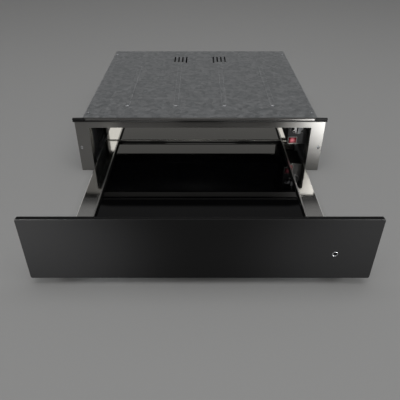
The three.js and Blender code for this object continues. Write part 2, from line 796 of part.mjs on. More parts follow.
function drawerFront() {
  const half = panelWidth / 2 - panelBevel;
  const face = rectangle(-half, half, panelBottom + panelBevel, panelTop - panelBevel,
    panelCorner);
  const glass = alongY(face, panelFace + panelBevel, panelFace + panelGlass - panelBevel, {
    curveSegments: 2,
    bevelEnabled: true,
    bevelThickness: panelBevel,
    bevelSize: panelBevel,
    bevelSegments: 2,
  });
  const lensRadius = lensDiameter / 2;
  const window = rodY(lensRadius + seat, panelFace - 2, panelFace + panelGlass + 2, lensX,
    lensZ, 24);
  part('front_glass', cut(glass, window), finishes.blackGlass);

  const sheetBack = carrierFront + sheet;
  const outer = panelWidth / 2 - carrierInset;
  const plate = alongY(rectangle(-outer, outer, panelBottom + carrierInset,
    panelTop - carrierInset, panelCorner), carrierFront, panelBack);
  const inner = panelWidth / 2 - carrierRim;
  const pocket = alongY(rectangle(-inner, inner, panelBottom + carrierRim,
    panelTop - carrierRim, 1.5), sheetBack, panelBack + 2);
  const lampHole = rodY(lensRadius + seat, carrierFront - 2, sheetBack + 2, lensX, lensZ, 24);
  const screwHoles = frontScrewPlaces.map(([x, z]) =>
    rodY(screwRadius + holePlay, carrierFront - 1, panelBack + 1, x, z, 8));
  part('front_carrier', cut(plate, pocket, lampHole, ...screwHoles), finishes.blackSheet);

  part('indicator_lens', turned([
    [0, 0], [lensRadius - 0.4, 0], [lensRadius, 0.4], [lensRadius, panelGlass + 1],
    [0, panelGlass + 1],
  ], lensX, panelFace, lensZ, 20), finishes.whitePlastic);
  const lamp = turned([
    [0, 0], [2.5, 0], [2.5, 2.2], [lensRadius + 3, 2.2], [lensRadius + 3, 3.6], [3.4, 3.6],
    [3.4, 9], [0, 9],
  ], lensX, panelFace + panelGlass + 1 + seat, lensZ, 12);
  part('indicator_lamp', lamp, finishes.blackPlastic);
}

// Angle bracket on each side of the deck's front edge, with a gusset.
function frontBrackets() {
  const bottom = deckTop + seat;
  const top = bottom + gussetHeight;
  const thick = bracketSheet;
  const web = outline([
    [trayFront, bottom], [trayFront + gussetLength, bottom],
    [trayFront + gussetLength, bottom + 4, 3], [trayFront + gussetLength * 0.3, top, 9],
    [trayFront, top],
  ]);
  const upright = alongX(web, gussetX - thick, gussetX);
  const flange = alongY(rectangle(gussetX - thick, gussetX + gussetFlange, bottom, top, 1.2),
    trayFront, trayFront + thick);
  const foot = alongZ(rectangle(gussetX - gussetFoot, gussetX, trayFront,
    trayFront + gussetLength, 1.2), bottom, bottom + thick);
  const holes = frontScrewPlaces.filter(([x]) => x > 0).map(([x, z]) =>
    rodY(screwRadius + holePlay, trayFront - 2, trayFront + 4, x, z, 8));
  const window = rodX(6, gussetX - 4, gussetX + 2, trayFront + gussetLength * 0.27,
    bottom + 13, 20);
  pair('front_bracket', cut(join(upright, flange, foot), ...holes, window),
    finishes.brushedSteel);

  frontScrewPlaces.forEach(([x, z], i) => {
    const shank = trayFront + thick + seat - carrierFront;
    part(`front_screw_${i + 1}`, turned(screwProfile(shank), x, carrierFront + shank, z, 8),
      finishes.railSteel);
  });
}

// Closed, the bumpers stop the carrier just clear of the front frame.
function bumpers() {
  const start = carrierFront + sheet + seat;
  const length = panelBack + panelProud - panelDepth - seat - start;
  pair('closing_bumper', turned([
    [0, 0], [bumperRadius, 0], [bumperRadius, length - 2], [bumperRadius - 1.5, length],
    [0, length],
  ], frameHalf - bumperInset, start, bumperZ, 16), finishes.rubber);
}

// ---------------------------------------------------------------- controls
function controlBox() {
  const left = controlLeft + sheet / 2;
  const right = controlRight - sheet / 2;
  const bottom = controlBottom + sheet / 2;
  const section = strip([[left - foldWidth, foldTop - sheet / 2], [left, foldTop - sheet / 2],
    [left, bottom], [right, bottom], [right, foldTop - 2]]);
  const front = fasciaBack + seat;
  const back = fasciaBack + controlDepth;
  const shell = alongY(section, front, back);
  const closing = slab(left, right, back - sheet, back, bottom, foldTop - 3);
  const wireHole = rodY(7, back - 5, back + 5, (left + right) / 2, controlBottom + 45, 16);
  part('control_box', cut(join(shell, closing), wireHole), finishes.blackSheet);
}

function fascia() {
  const plate = alongY(rectangle(controlLeft, controlRight, controlBottom, foldTop - 1, 1.5),
    fasciaFace, fasciaBack);
  const cutOut = slab(switchX - switchWidth / 2 + 1 - seat, switchX + switchWidth / 2 - 1 + seat,
    fasciaFace - 2, fasciaBack + 2, switchZ - switchHeight / 2 + 1 - seat,
    switchZ + switchHeight / 2 - 1 + seat);
  const bush = rodY(bushRadius + holePlay, fasciaFace - 2, fasciaBack + 2, knobX, knobZ, 20);
  part('control_fascia', cut(plate, cutOut, bush), finishes.blackPlastic);
}

function powerSwitch() {
  const halfW = switchWidth / 2;
  const halfH = switchHeight / 2;
  const face = fasciaFace - seat - bezelThickness;
  const bezel = alongY(rectangle(switchX - halfW, switchX + halfW, switchZ - halfH,
    switchZ + halfH, 1.5), face, face + bezelThickness);
  const body = slab(switchX - halfW + 1, switchX + halfW - 1, face + 0.5, face + switchDepth,
    switchZ - halfH + 1, switchZ + halfH - 1);
  const cavity = slab(switchX - halfW + 1.5, switchX + halfW - 1.5, face - 1, face + 8,
    switchZ - halfH + 1.7, switchZ + halfH - 1.7);
  const blades = [-5, 0, 5].map((x) =>
    slab(switchX + x - 0.4, switchX + x + 0.4, face + switchDepth - 1, face + switchDepth + 7,
      switchZ - 3, switchZ + 3));
  part('switch_housing', cut(join(bezel, body, ...blades), cavity), finishes.whitePlastic);

  // The rocker's face is a shallow V. Its pivot lies behind the bezel's face.
  const reach = halfW - 2.2;
  const section = outline([
    [-reach, -5, 0.6], [0, -3.4, 4], [reach, -5, 0.6], [reach - 0.8, 0.6],
    [2.4, 3.4, 1], [-2.4, 3.4, 1], [-reach + 0.8, 0.6],
  ]);
  const rocker = alongZ(section, -halfH + 2, halfH - 2, { curveSegments: 3 })
    .rotateZ(THREE.MathUtils.degToRad(rockerAngle))
    .translate(switchX, face + 3.4, switchZ);
  part('rocker_button', rocker, finishes.redLens);
}

function thermostat() {
  const radius = thermostatDiameter / 2;
  const back = fasciaBack + seat + thermostatDepth;
  const collar = fasciaFace - 2.4;
  const bore = shaftRadius + seat;
  const boreEnd = back - 8;
  part('thermostat', turned([
    [bore, boreEnd - back], [bore, collar - back], [bushRadius, collar - back],
    [bushRadius, -thermostatDepth], [radius, -thermostatDepth], [radius, -6], [radius - 2, -4],
    [radius - 2, 0], [0, 0], [0, boreEnd - back], [bore, boreEnd - back],
  ], knobX, back, knobZ), finishes.railSteel);
}

function knobAndShaft() {
  const tip = fasciaFace - knobHeight + 3 + seat;
  const end = fasciaBack + seat + thermostatDepth - 8 - seat;
  part('knob_shaft', rodY(shaftRadius, tip, end, knobX, knobZ, 16), finishes.railSteel);

  const outer = knobDiameter / 2;
  const grip = gripDiameter / 2;
  const rear = -0.8;
  const collarPocket = 2.6;
  const boreTop = -(knobHeight - 3);
  const knob = turned([
    [shaftRadius + seat, boreTop], [shaftRadius + seat, -collarPocket],
    [bushRadius + 1, -collarPocket], [bushRadius + 1, rear], [outer, rear],
    [outer, rear - 1.6], [outer - 1, rear - 2.6],
    [grip + 1.5, rear - 3], [grip, rear - 4.5], [grip - 1, -knobHeight + 1.2],
    [grip - 2.2, -knobHeight], [0, -knobHeight], [0, boreTop], [shaftRadius + seat, boreTop],
  ].reverse(), 0, 0, 0, 22);
  const flats = [-1, 1].map((side) => slab(
    side > 0 ? 4.5 : -grip - 3, side > 0 ? grip + 3 : -4.5,
    -knobHeight - 1, -4.6, -grip - 2, grip + 2,
  ));
  const pointer = slab(-0.7, 0.7, -knobHeight - 0.6, -knobHeight + 1, 3, grip - 2);
  part('temperature_knob', cut(knob, ...flats, pointer).translate(knobX, fasciaFace, knobZ),
    finishes.knobMetal);
}

// ---------------------------------------------------------------- latch and mains connection
function pushLatch() {
  const front = latchTip + 10;
  const low = latchZ - latchHeight / 2;
  const high = latchZ + latchHeight / 2;
  const body = alongY(rectangle(-latchWidth / 2, latchWidth / 2, low, high, 3), front,
    rearInner);
  const flange = alongY(rectangle(-latchWidth, latchWidth, low, high, 3), rearInner - 3,
    rearInner);
  const boreEnd = latchTip + plungerLength + plungerTravel + 1;
  const bore = rodY(plungerRadius + holePlay, front - 1, boreEnd, 0, latchZ, 20);
  const holes = [-0.77, 0.77].map((share) =>
    rodY(screwRadius + holePlay, rearInner - 6, rearInner + 1, share * latchWidth, latchZ, 10));
  part('latch_body', cut(join(body, flange), bore, ...holes), finishes.blackPlastic);
  part('latch_plunger', turned([
    [0, 0], [2.5, 0], [4.2, 0.9], [plungerRadius, 2.6], [plungerRadius, plungerLength],
    [0, plungerLength],
  ], 0, latchTip, latchZ), finishes.whitePlastic);
}

function mainsConnection() {
  const nut = glandRadius + 3;
  const inside = rearInner;
  const outside = backY + seat;
  const gland = turned([
    [cableRadius, inside - 9], [glandRadius, inside - 9], [glandRadius, outside],
    [nut, outside], [nut, outside + 4], [nut - 2, outside + 8], [cableRadius + 2, outside + 11],
    [cableRadius, outside + 11], [cableRadius, inside - 9],
  ], glandX, 0, glandZ);
  part('cable_gland', gland, finishes.blackPlastic);
  const nutRing = cut(
    new THREE.CylinderGeometry(nut + 2, nut + 2, 5, 6).translate(glandX, inside - 2.5, glandZ),
    rodY(glandRadius + holePlay, inside - 8, inside + 2, glandX, glandZ, 20),
  );
  part('gland_nut', nutRing, finishes.blackPlastic);

  const z0 = glandZ + terminalRise;
  const base = alongY(rectangle(glandX - 27, glandX + 27, z0, z0 + 32, 2), rearInner - 4,
    rearInner);
  const places = [-terminalPitch, 0, terminalPitch];
  const cells = places.map((x) =>
    slab(glandX + x - 6.5, glandX + x + 6.5, rearInner - 20, rearInner - 3, z0 + 5, z0 + 27));
  const ports = places.flatMap((x) => [
    rodZ(2.4, z0 + 2, z0 + 20, glandX + x, rearInner - 9, 10),
    rodY(2.6, rearInner - 22, rearInner - 11, glandX + x, z0 + 20, 10),
  ]);
  part('terminal_block', cut(join(base, ...cells), ...ports), finishes.whitePlastic);
}

basePlate();
sidePanels();
rearPanel();
topCover();
coverScrews();
frontFrame();
cornerSpacers();
slides();
railBrackets();
tray();
heaterPan();
heatingPlate();
heatingElement();
trayInternals();
rearWall();
drawerFront();
frontBrackets();
bumpers();
controlBox();
fascia();
powerSwitch();
thermostat();
knobAndShaft();
pushLatch();
mainsConnection();

export default warmingDrawer;
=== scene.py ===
# %% [markdown]
# # A built-in warming drawer, pulled open
# The drawer slides out of its steel housing like a sideless tray: a black glass heating plate lies
# in a polished steel deck, and a satin black panel closes the front. The solids are already
# modelled at their real size. This lesson loads them, gives each one a finish made from shader
# nodes, and replaces the small turned and moulded parts by smoother ones with finer detail. All
# lengths are in metres, +Z is up, and +Y runs to the rear.

# %% Load the solids
import json
import math
import bmesh
import bpy
from mathutils import Matrix, Vector


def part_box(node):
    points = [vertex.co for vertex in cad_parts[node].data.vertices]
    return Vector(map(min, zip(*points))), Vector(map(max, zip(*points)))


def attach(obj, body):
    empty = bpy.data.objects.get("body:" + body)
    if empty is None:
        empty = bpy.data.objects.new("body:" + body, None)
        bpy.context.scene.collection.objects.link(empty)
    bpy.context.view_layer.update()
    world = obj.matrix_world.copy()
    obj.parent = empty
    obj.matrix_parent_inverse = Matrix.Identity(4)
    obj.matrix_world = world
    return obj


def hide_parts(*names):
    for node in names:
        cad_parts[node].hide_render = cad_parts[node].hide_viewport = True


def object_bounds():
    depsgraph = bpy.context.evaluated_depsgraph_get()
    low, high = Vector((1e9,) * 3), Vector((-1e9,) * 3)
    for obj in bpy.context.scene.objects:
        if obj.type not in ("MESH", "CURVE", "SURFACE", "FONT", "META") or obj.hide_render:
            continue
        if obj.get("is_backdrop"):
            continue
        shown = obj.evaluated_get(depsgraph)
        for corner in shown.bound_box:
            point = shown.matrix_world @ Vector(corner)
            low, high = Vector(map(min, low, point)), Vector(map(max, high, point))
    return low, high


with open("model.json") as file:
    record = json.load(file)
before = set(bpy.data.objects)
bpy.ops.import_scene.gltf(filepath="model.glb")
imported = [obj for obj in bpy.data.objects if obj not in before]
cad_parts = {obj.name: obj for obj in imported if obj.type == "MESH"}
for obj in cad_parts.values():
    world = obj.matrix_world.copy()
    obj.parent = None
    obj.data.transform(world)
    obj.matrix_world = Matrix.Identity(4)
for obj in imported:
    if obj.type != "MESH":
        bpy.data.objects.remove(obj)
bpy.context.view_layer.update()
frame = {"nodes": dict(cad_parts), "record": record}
solids = frame["nodes"]

# %% [markdown]
# A solid keeps its place in its vertices, so its corners tell where a new piece has to go. These
# two small helpers read a solid's middle and its size. `HAIR` is how far apart two places may lie
# and still count as the same.

# %% Measure the solids
MM = 0.001
HAIR = 0.1 * MM


def middle(name):
    low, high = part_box(name)
    return (low + high) / 2


def size(name):
    low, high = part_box(name)
    return high - low


print("front panel", [round(v, 4) for v in size("front_glass")])

# %% [markdown]
# ## Finishes
# Every finish starts from one Principled shader. What is the same all over a surface is set on the
# shader's own sockets. What varies, such as brushing, moulded grain or dust, comes from textures
# that read the piece's own Object coordinates, so the pattern sits still on the piece.

# %% Node helpers
def put(material, kind, inputs=None, **settings):
    made = material.node_tree.nodes.new(kind)
    for key, value in settings.items():
        setattr(made, key, value)
    for key, value in (inputs or {}).items():
        made.inputs[key].default_value = value
    return made


def wire(material, source, target):
    material.node_tree.links.new(source, target)


def new_finish(name, colour, roughness, metallic=0.0, ior=1.5):
    material = bpy.data.materials.new(name)
    material.use_nodes = True
    shader = material.node_tree.nodes["Principled BSDF"]
    shader.inputs["Base Color"].default_value = (*colour, 1)
    shader.inputs["Roughness"].default_value = roughness
    shader.inputs["Metallic"].default_value = metallic
    shader.inputs["IOR"].default_value = ior
    return material


def shader_of(material):
    return material.node_tree.nodes["Principled BSDF"]


def noise(material, stretch, detail=3.0, rough=0.5):
    place = put(material, "ShaderNodeTexCoord")
    mapping = put(material, "ShaderNodeMapping", {"Scale": stretch})
    texture = put(material, "ShaderNodeTexNoise",
                  {"Scale": 1.0, "Detail": detail, "Roughness": rough})
    wire(material, place.outputs["Object"], mapping.inputs["Vector"])
    wire(material, mapping.outputs["Vector"], texture.inputs["Vector"])
    return texture.outputs["Fac"]


def vary_roughness(material, factor, low, high, start=0.35, end=0.65):
    span = put(material, "ShaderNodeMapRange",
               {"From Min": start, "From Max": end, "To Min": low, "To Max": high})
    wire(material, factor, span.inputs["Value"])
    wire(material, span.outputs["Result"], shader_of(material).inputs["Roughness"])


def vary_colour(material, factor, dark, light, start=0.35, end=0.65):
    ramp = put(material, "ShaderNodeValToRGB")
    ramp.color_ramp.elements[0].position = start
    ramp.color_ramp.elements[0].color = (*dark, 1)
    ramp.color_ramp.elements[1].position = end
    ramp.color_ramp.elements[1].color = (*light, 1)
    wire(material, factor, ramp.inputs["Fac"])
    wire(material, ramp.outputs["Color"], shader_of(material).inputs["Base Color"])


def emboss(material, factor, strength, distance):
    bump = put(material, "ShaderNodeBump", {"Strength": strength, "Distance": distance})
    wire(material, factor, bump.inputs["Height"])
    wire(material, bump.outputs["Normal"], shader_of(material).inputs["Normal"])


print("node helpers ready")

# %% [markdown]
# ### Steel
# Brushed sheet has fine scratches that all run one way. A noise texture squeezed across the
# brushing and stretched along it gives such scratches. They are far finer than a pixel, so the
# way they smear a highlight across the brushing comes from the shader's anisotropy. The frame is
# brushed along X. The deck and the rear wall are polished almost to a mirror afterwards, so
# their scratches are shallower and their roughness is low.

# %% Steel finishes
scratch_height = 0.04 * MM


def brushed(name, colour, low, high, stretch, depth, smear=0.0, turn=0.0):
    material = new_finish(name, colour, high, 1.0)
    scratches = noise(material, stretch, 4.0, 0.65)
    vary_roughness(material, scratches, low, high)
    emboss(material, scratches, depth, scratch_height)
    shader_of(material).inputs["Anisotropic"].default_value = smear
    shader_of(material).inputs["Anisotropic Rotation"].default_value = turn
    return material


# The frame's steel is much darker than bare stainless. Its dark colour is painted shade, for the
# dim surroundings that the frame mirrors.
darkened_frame_steel = brushed("darkened_frame_steel", (0.242, 0.237, 0.227), 0.30, 0.37, (9, 1300, 1300), 0.08,
                      0.9, 0.25)
deck_steel = brushed("deck_steel", (0.74, 0.73, 0.70), 0.05, 0.10, (7, 1800, 1800), 0.03)
mirror_steel = brushed("mirror_steel", (0.78, 0.77, 0.74), 0.02, 0.05, (6, 1600, 1600), 0.01)
rim_steel = brushed("rim_steel", (0.60, 0.59, 0.57), 0.30, 0.38, (30, 900, 900), 0.05)
bracket_steel = brushed("bracket_steel", (0.50, 0.49, 0.47), 0.24, 0.36, (2400, 10, 2400), 0.2)
print("steel finishes:", darkened_frame_steel.name, deck_steel.name, mirror_steel.name)

# %% [markdown]
# ### Galvanised and plated steel
# Hot-dip galvanised sheet shows spangle: flat crystals a few millimetres across, each a slightly
# different grey. A Voronoi texture gives every cell one random value, and that value shifts both
# the grey and the roughness. Zinc plating on the slides is finer, so plain noise does there.

# %% Zinc finishes
def galvanised(name, cell, dark, light):
    material = new_finish(name, light, 0.45, 0.85)
    place = put(material, "ShaderNodeTexCoord")
    spangle = put(material, "ShaderNodeTexVoronoi", {"Scale": 1 / cell, "Randomness": 1.0})
    grey = put(material, "ShaderNodeSeparateColor")
    wire(material, place.outputs["Object"], spangle.inputs["Vector"])
    wire(material, spangle.outputs["Color"], grey.inputs["Color"])
    vary_colour(material, grey.outputs["Red"], dark, light, 0.0, 1.0)
    vary_roughness(material, grey.outputs["Green"], 0.34, 0.52, 0.0, 1.0)
    return material


zinc_sheet = galvanised("zinc_sheet", 9 * MM, (0.36, 0.375, 0.385), (0.52, 0.53, 0.54))
zinc_plate = new_finish("zinc_plate", (0.62, 0.63, 0.65), 0.28, 1.0)
cloud = noise(zinc_plate, (60, 60, 60), 5.0)
vary_colour(zinc_plate, cloud, (0.54, 0.55, 0.56), (0.68, 0.69, 0.72))
vary_roughness(zinc_plate, cloud, 0.22, 0.38)
print("zinc finishes ready")

# %% [markdown]
# ### Glass
# The front panel is glass painted black behind and etched satin in front: a black base under a
# soft, even sheen. The heating plate is the same black glass with a polished face, which mirrors
# the frame above it. A trace of dust keeps it from looking like plastic.

# %% Glass finishes
satin_glass = new_finish("satin_glass", (0.0057, 0.0057, 0.0059), 0.42, ior=1.33)
etching = noise(satin_glass, (2800, 2800, 2800), 2.0)
vary_roughness(satin_glass, etching, 0.37, 0.46)
emboss(satin_glass, etching, 0.06, 0.01 * MM)

heat_glass = new_finish("heat_glass", (0.0008, 0.0008, 0.0010), 0.03, ior=1.36)
dust = noise(heat_glass, (240, 240, 240), 8.0, 0.7)
vary_roughness(heat_glass, dust, 0.018, 0.045, 0.55, 0.8)
print("glass finishes ready")

# %% [markdown]
# ### Paint, plastic, rubber
# Powder coat has a fine orange peel, moulded plastic a spark-eroded grain, and rubber is dull and
# slightly dusty. They are dark materials told apart by their grain and sheen, so one helper makes
# them all, from two colours, a range of roughness, and the pitch and height of the grain.

# %% Paint, plastic and rubber finishes
def grained(name, dark, light, low, high, pitch, depth, height=0.02 * MM):
    material = new_finish(name, light, high)
    grain = noise(material, (1 / pitch,) * 3, 3.0)
    vary_colour(material, grain, dark, light)
    vary_roughness(material, grain, low, high)
    emboss(material, grain, depth, height)
    return material


powder_coat = grained("powder_coat", (0.004, 0.004, 0.0043), (0.0065, 0.0065, 0.0068),
                      0.45, 0.60, 1.1 * MM, 0.22, 0.03 * MM)
shader_of(powder_coat).inputs["IOR"].default_value = 1.28
black_plastic = grained("black_plastic", (0.010, 0.010, 0.011), (0.016, 0.016, 0.017),
                        0.36, 0.50, 0.6 * MM, 0.15)
soft_rubber = grained("soft_rubber", (0.009, 0.009, 0.009), (0.018, 0.018, 0.018),
                      0.72, 0.90, 1.6 * MM, 0.2, 0.03 * MM)
silicone = grained("silicone", (0.003, 0.003, 0.003), (0.005, 0.005, 0.005),
                   0.44, 0.56, 1.6 * MM, 0.03)
shader_of(silicone).inputs["IOR"].default_value = 1.18
# Black rubber of the frame's bead. Its black also serves as painted shade for the gap above the
# frame.
gasket_and_shade_rubber = grained("gasket_and_shade_rubber", (0.003, 0.003, 0.003), (0.005, 0.005, 0.005),
                        0.30, 0.42, 1.6 * MM, 0.05)
light_plastic = grained("light_plastic", (0.42, 0.41, 0.38), (0.50, 0.49, 0.45),
                        0.38, 0.50, 0.8 * MM, 0.08)
print("paint, plastic and rubber finishes ready")

# %% [markdown]
# ### Heater and knob
# Mineral wool is a tangle of fibres, so a fine noise drives both its colour and a deep bump. The
# heating element's sheath has been hot: its steel has gone brown and grey in soft bands. The knob
# is turned metal, and a fine grain drawn out along its axis varies its gloss.

# %% Heater finishes
mineral_wool = grained("mineral_wool", (0.36, 0.33, 0.25), (0.62, 0.59, 0.50),
                       0.90, 1.0, 2.2 * MM, 0.8, 0.6 * MM)
hot_steel = new_finish("hot_steel", (0.19, 0.16, 0.14), 0.5, 0.85)
bands = noise(hot_steel, (30, 45, 30), 3.0)
vary_colour(hot_steel, bands, (0.12, 0.09, 0.075), (0.26, 0.235, 0.22))
vary_roughness(hot_steel, bands, 0.42, 0.6)

knob_metal = new_finish("knob_metal", (0.53, 0.54, 0.56), 0.10, 1.0)
turning = noise(knob_metal, (900, 40, 900), 3.0)
vary_roughness(knob_metal, turning, 0.07, 0.13)
print("heater and knob finishes ready")

# %% [markdown]
# Each solid keeps its shape and takes one of these finishes. The list follows the record's
# material slots. Five solids have a finish of their own: the deck and the rear wall, which are
# polished finer than the frame, the switch's bezel and the two front brackets.

# %% Dress the solids
slot_finish = {
    "front_glass": satin_glass, "heat_glass": heat_glass, "brushed_steel": darkened_frame_steel,
    "galvanised": zinc_sheet, "rail_steel": zinc_plate, "black_sheet": powder_coat,
    "black_plastic": black_plastic, "rubber": soft_rubber, "white_plastic": light_plastic,
    "mineral_fibre": mineral_wool, "element_steel": hot_steel, "knob_metal": knob_metal,
    "red_lens": light_plastic,
}
bezel_plastic = grained("bezel_plastic", (0.22, 0.22, 0.215), (0.28, 0.28, 0.275),
                        0.16, 0.24, 1.0 * MM, 0.05)
own_finish = {"tray": deck_steel, "rear_wall": mirror_steel, "switch_housing": bezel_plastic,
              "front_bracket_right": bracket_steel, "front_bracket_left": bracket_steel}
for part in frame["record"]["subparts"]:
    solid = solids[part["node"]]
    finish = own_finish.get(part["node"], slot_finish[part["material_slot"]])
    solid.data.materials.clear()
    solid.data.materials.append(finish)

# %% [markdown]
# ## Modelling helpers
# New pieces are made as by hand: a primitive is added at its place, shaped in edit mode, and given
# modifiers that are applied. Faces are picked in code by where they are and which way they look.
# At the end `settle` moves the object's place into its mesh, names it, gives it a finish, and says
# which body it moves with.

# %% Modelling helpers
TO_FRONT, TO_REAR, UP, DOWN = (0, -1, 0), (0, 1, 0), (0, 0, 1), (0, 0, -1)


def start_clean():
    if bpy.context.mode != "OBJECT":
        bpy.ops.object.mode_set(mode="OBJECT")
    bpy.ops.object.select_all(action="DESELECT")


def drum(radius, depth, place, sides=48):
    """A cylinder whose axis runs along Y."""
    start_clean()
    bpy.ops.mesh.primitive_cylinder_add(vertices=sides, radius=radius, depth=depth,
                                        location=place, rotation=(math.pi / 2, 0, 0))
    bpy.ops.object.transform_apply(location=True, rotation=True, scale=True)
    return bpy.context.active_object


def block(corner_low, corner_high):
    start_clean()
    centre = [(a + b) / 2 for a, b in zip(corner_low, corner_high)]
    bpy.ops.mesh.primitive_cube_add(size=1, location=centre)
    made = bpy.context.active_object
    made.scale = [b - a for a, b in zip(corner_low, corner_high)]
    bpy.ops.object.transform_apply(location=True, rotation=True, scale=True)
    return made


def pick(kind, test):
    """Selects, in edit mode, the faces or edges that pass a test of their middle and direction."""
    bpy.ops.mesh.select_all(action="DESELECT")
    bpy.ops.mesh.select_mode(type=kind)
    mesh = bmesh.from_edit_mesh(bpy.context.active_object.data)
    mesh.normal_update()
    if kind == "FACE":
        chosen = [f for f in mesh.faces if test(f.calc_center_median(), f.normal)]
    else:
        chosen = [e for e in mesh.edges if test((e.verts[0].co + e.verts[1].co) / 2,
                                                e.verts[1].co - e.verts[0].co)]
    for item in chosen:
        item.select_set(True)
    mesh.select_flush_mode()
    bmesh.update_edit_mesh(bpy.context.active_object.data)
    return len(chosen)


def pick_facing(direction):
    """Selects the faces that look along a direction."""
    return pick("FACE", lambda place, normal: normal.dot(Vector(direction)) > 0.9)


def grow(thickness, depth=0.0):
    """Insets the picked faces and pushes them out (or in, with a negative depth)."""
    bpy.ops.mesh.inset(thickness=thickness, depth=depth, use_boundary=True)


def draw_out(steps, along):
    """Insets the picked faces and moves them along, each step by two lengths in millimetres."""
    for inset, rise in steps:
        grow(inset * MM)
        bpy.ops.transform.translate(value=Vector(along) * rise * MM)


def sheet(low, high, height):
    """A flat rectangle lying at a height."""
    start_clean()
    bpy.ops.mesh.primitive_plane_add(size=1, location=((low.x + high.x) / 2,
                                                       (low.y + high.y) / 2, height))
    made = bpy.context.active_object
    made.scale = (high.x - low.x, high.y - low.y, 1)
    bpy.ops.object.transform_apply(location=True, rotation=True, scale=True)
    return made


def raise_up(height):
    """Extrudes the picked faces upwards (or down, with a negative height)."""
    bpy.ops.mesh.extrude_region_move(TRANSFORM_OT_translate={"value": (0, 0, height)})


def make_active(made):
    start_clean()
    made.select_set(True)
    bpy.context.view_layer.objects.active = made


def bevelled(made, width, segments=2, angle=35):
    make_active(made)
    modifier = made.modifiers.new("edge", "BEVEL")
    modifier.width = width
    modifier.segments = segments
    modifier.limit_method = "ANGLE"
    modifier.angle_limit = math.radians(angle)
    bpy.ops.object.modifier_apply(modifier=modifier.name)


def carve(made, tool, operation="DIFFERENCE"):
    """Cuts a tool out of a piece, or joins it on with UNION, and deletes the tool."""
    make_active(made)
    modifier = made.modifiers.new("carve", "BOOLEAN")
    modifier.operation = operation
    modifier.solver = "EXACT"
    modifier.object = tool
    bpy.ops.object.modifier_apply(modifier=modifier.name)
    bpy.data.objects.remove(tool)


def merge(pieces):
    start_clean()
    for piece in pieces:
        piece.select_set(True)
    bpy.context.view_layer.objects.active = pieces[0]
    bpy.ops.object.join()
    return pieces[0]


def finish_surface(made, finish, smooth=40):
    make_active(made)
    bpy.ops.object.transform_apply(location=True, rotation=True, scale=True)
    bpy.ops.object.shade_smooth_by_angle(angle=math.radians(smooth))
    made.data.materials.clear()
    made.data.materials.append(finish)
    made.select_set(False)
    return made


def hand_over(made, name, body, replaced=()):
    made.name = made.data.name = name
    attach(made, body)
    if replaced:
        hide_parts(*replaced)
    return made


def settle(made, name, finish, body, replaced=(), smooth=40):
    finish_surface(made, finish, smooth)
    return hand_over(made, name, body, replaced)


def copied(made, place):
    """A copy with a mesh of its own, moved in the mesh by a matrix."""
    twin = made.copy()
    twin.data = made.data.copy()
    bpy.context.scene.collection.objects.link(twin)
    twin.data.transform(place)
    return twin


print("modelling helpers ready")

# %% [markdown]
# ## The thermostat knob
# The knob is a turned skirt with a straight grip across it, which two fingers hold. The skirt
# starts as a cylinder. Its front is inset ring by ring and drawn forward into a low cone. Twelve
# flutes are then pressed into the cone: every ring's points move back by a wave that is deepest
# near the rim, so light breaks into streaks on it.

# %% Knob skirt
knob_low, knob_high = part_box("temperature_knob")
knob_centre = middle("temperature_knob")
disc_radius, grip_radius, grip_half = 18.8 * MM, 14.5 * MM, 5.2 * MM
disc_depth, flutes, flute_depth, flute_start = 2.6 * MM, 12, 1.5 * MM, 0.45
disc_front = knob_high.y - disc_depth
cone_steps = ((0.6, 0.5), (1.2, 0.9), (1.8, 1.0), (2.0, 0.9), (2.4, 0.7))
skirt = drum(disc_radius, disc_depth, (knob_centre.x, knob_high.y - disc_depth / 2, knob_centre.z),
             sides=12 * flutes)
bpy.ops.object.mode_set(mode="EDIT")
pick_facing(TO_FRONT)
draw_out(cone_steps, TO_FRONT)
bpy.ops.object.mode_set(mode="OBJECT")
for point in skirt.data.vertices:
    across, up = point.co.x - knob_centre.x, point.co.z - knob_centre.z
    reach = math.hypot(across, up) / disc_radius
    if point.co.y < disc_front - HAIR:
        wave = 0.5 - 0.5 * math.cos(flutes * math.atan2(up, across))
        point.co.y += flute_depth * wave * max(0.0, reach - flute_start)
print("skirt faces:", len(skirt.data.polygons))

# %% [markdown]
# The grip is a smaller cylinder with two sides sliced off by bisecting planes. Its front is drawn
# in a little, and a bevel rounds it so that light runs along its edges. A union joins it to the
# skirt.

# %% Knob grip
grip_back, grip_front = knob_high.y - 1.2 * MM, knob_low.y
grip_taper_x, grip_taper_z = 0.80, 0.93
grip = drum(grip_radius, grip_back - grip_front,
            (knob_centre.x, (grip_back + grip_front) / 2, knob_centre.z), sides=64)
bpy.ops.object.mode_set(mode="EDIT")
for side in (1, -1):
    bpy.ops.mesh.select_all(action="SELECT")
    bpy.ops.mesh.bisect(plane_co=(knob_centre.x + side * grip_half, 0, 0), plane_no=(side, 0, 0),
                        use_fill=True, clear_outer=True)
pick_facing(TO_FRONT)
bpy.ops.transform.resize(value=(grip_taper_x, 1, grip_taper_z), center_override=knob_centre)
bpy.ops.object.mode_set(mode="OBJECT")
bevelled(grip, 1.0 * MM, segments=4, angle=30)
carve(skirt, grip, "UNION")
settle(skirt, "knob_cap", knob_metal, "knob", ["temperature_knob"], smooth=32)
print("knob size", [round(v, 4) for v in size("temperature_knob")])

# %% [markdown]
# The pointer is a strip of white print on the grip, a hair proud of it.

# %% Knob pointer
pointer_half, print_rise, print_depth = 0.6 * MM, 0.04 * MM, 0.3 * MM
pointer_foot = knob_centre.z + 3 * MM
pointer_top = knob_centre.z + grip_radius * grip_taper_z - 1.6 * MM
pointer = block((knob_centre.x - pointer_half, knob_low.y - print_rise, pointer_foot),
                (knob_centre.x + pointer_half, knob_low.y + print_depth, pointer_top))
bevelled(pointer, 0.1 * MM)
settle(pointer, "knob_pointer", light_plastic, "knob")
print("pointer ends below the rim by", round(knob_high.z - pointer_top, 4))

# %% [markdown]
# ## The scale
# The scale is printed on the box's front: a fine line every thirty degrees round the knob, with
# thicker ones at both ends. One tick is modelled, and its copies are turned round the knob's
# middle.

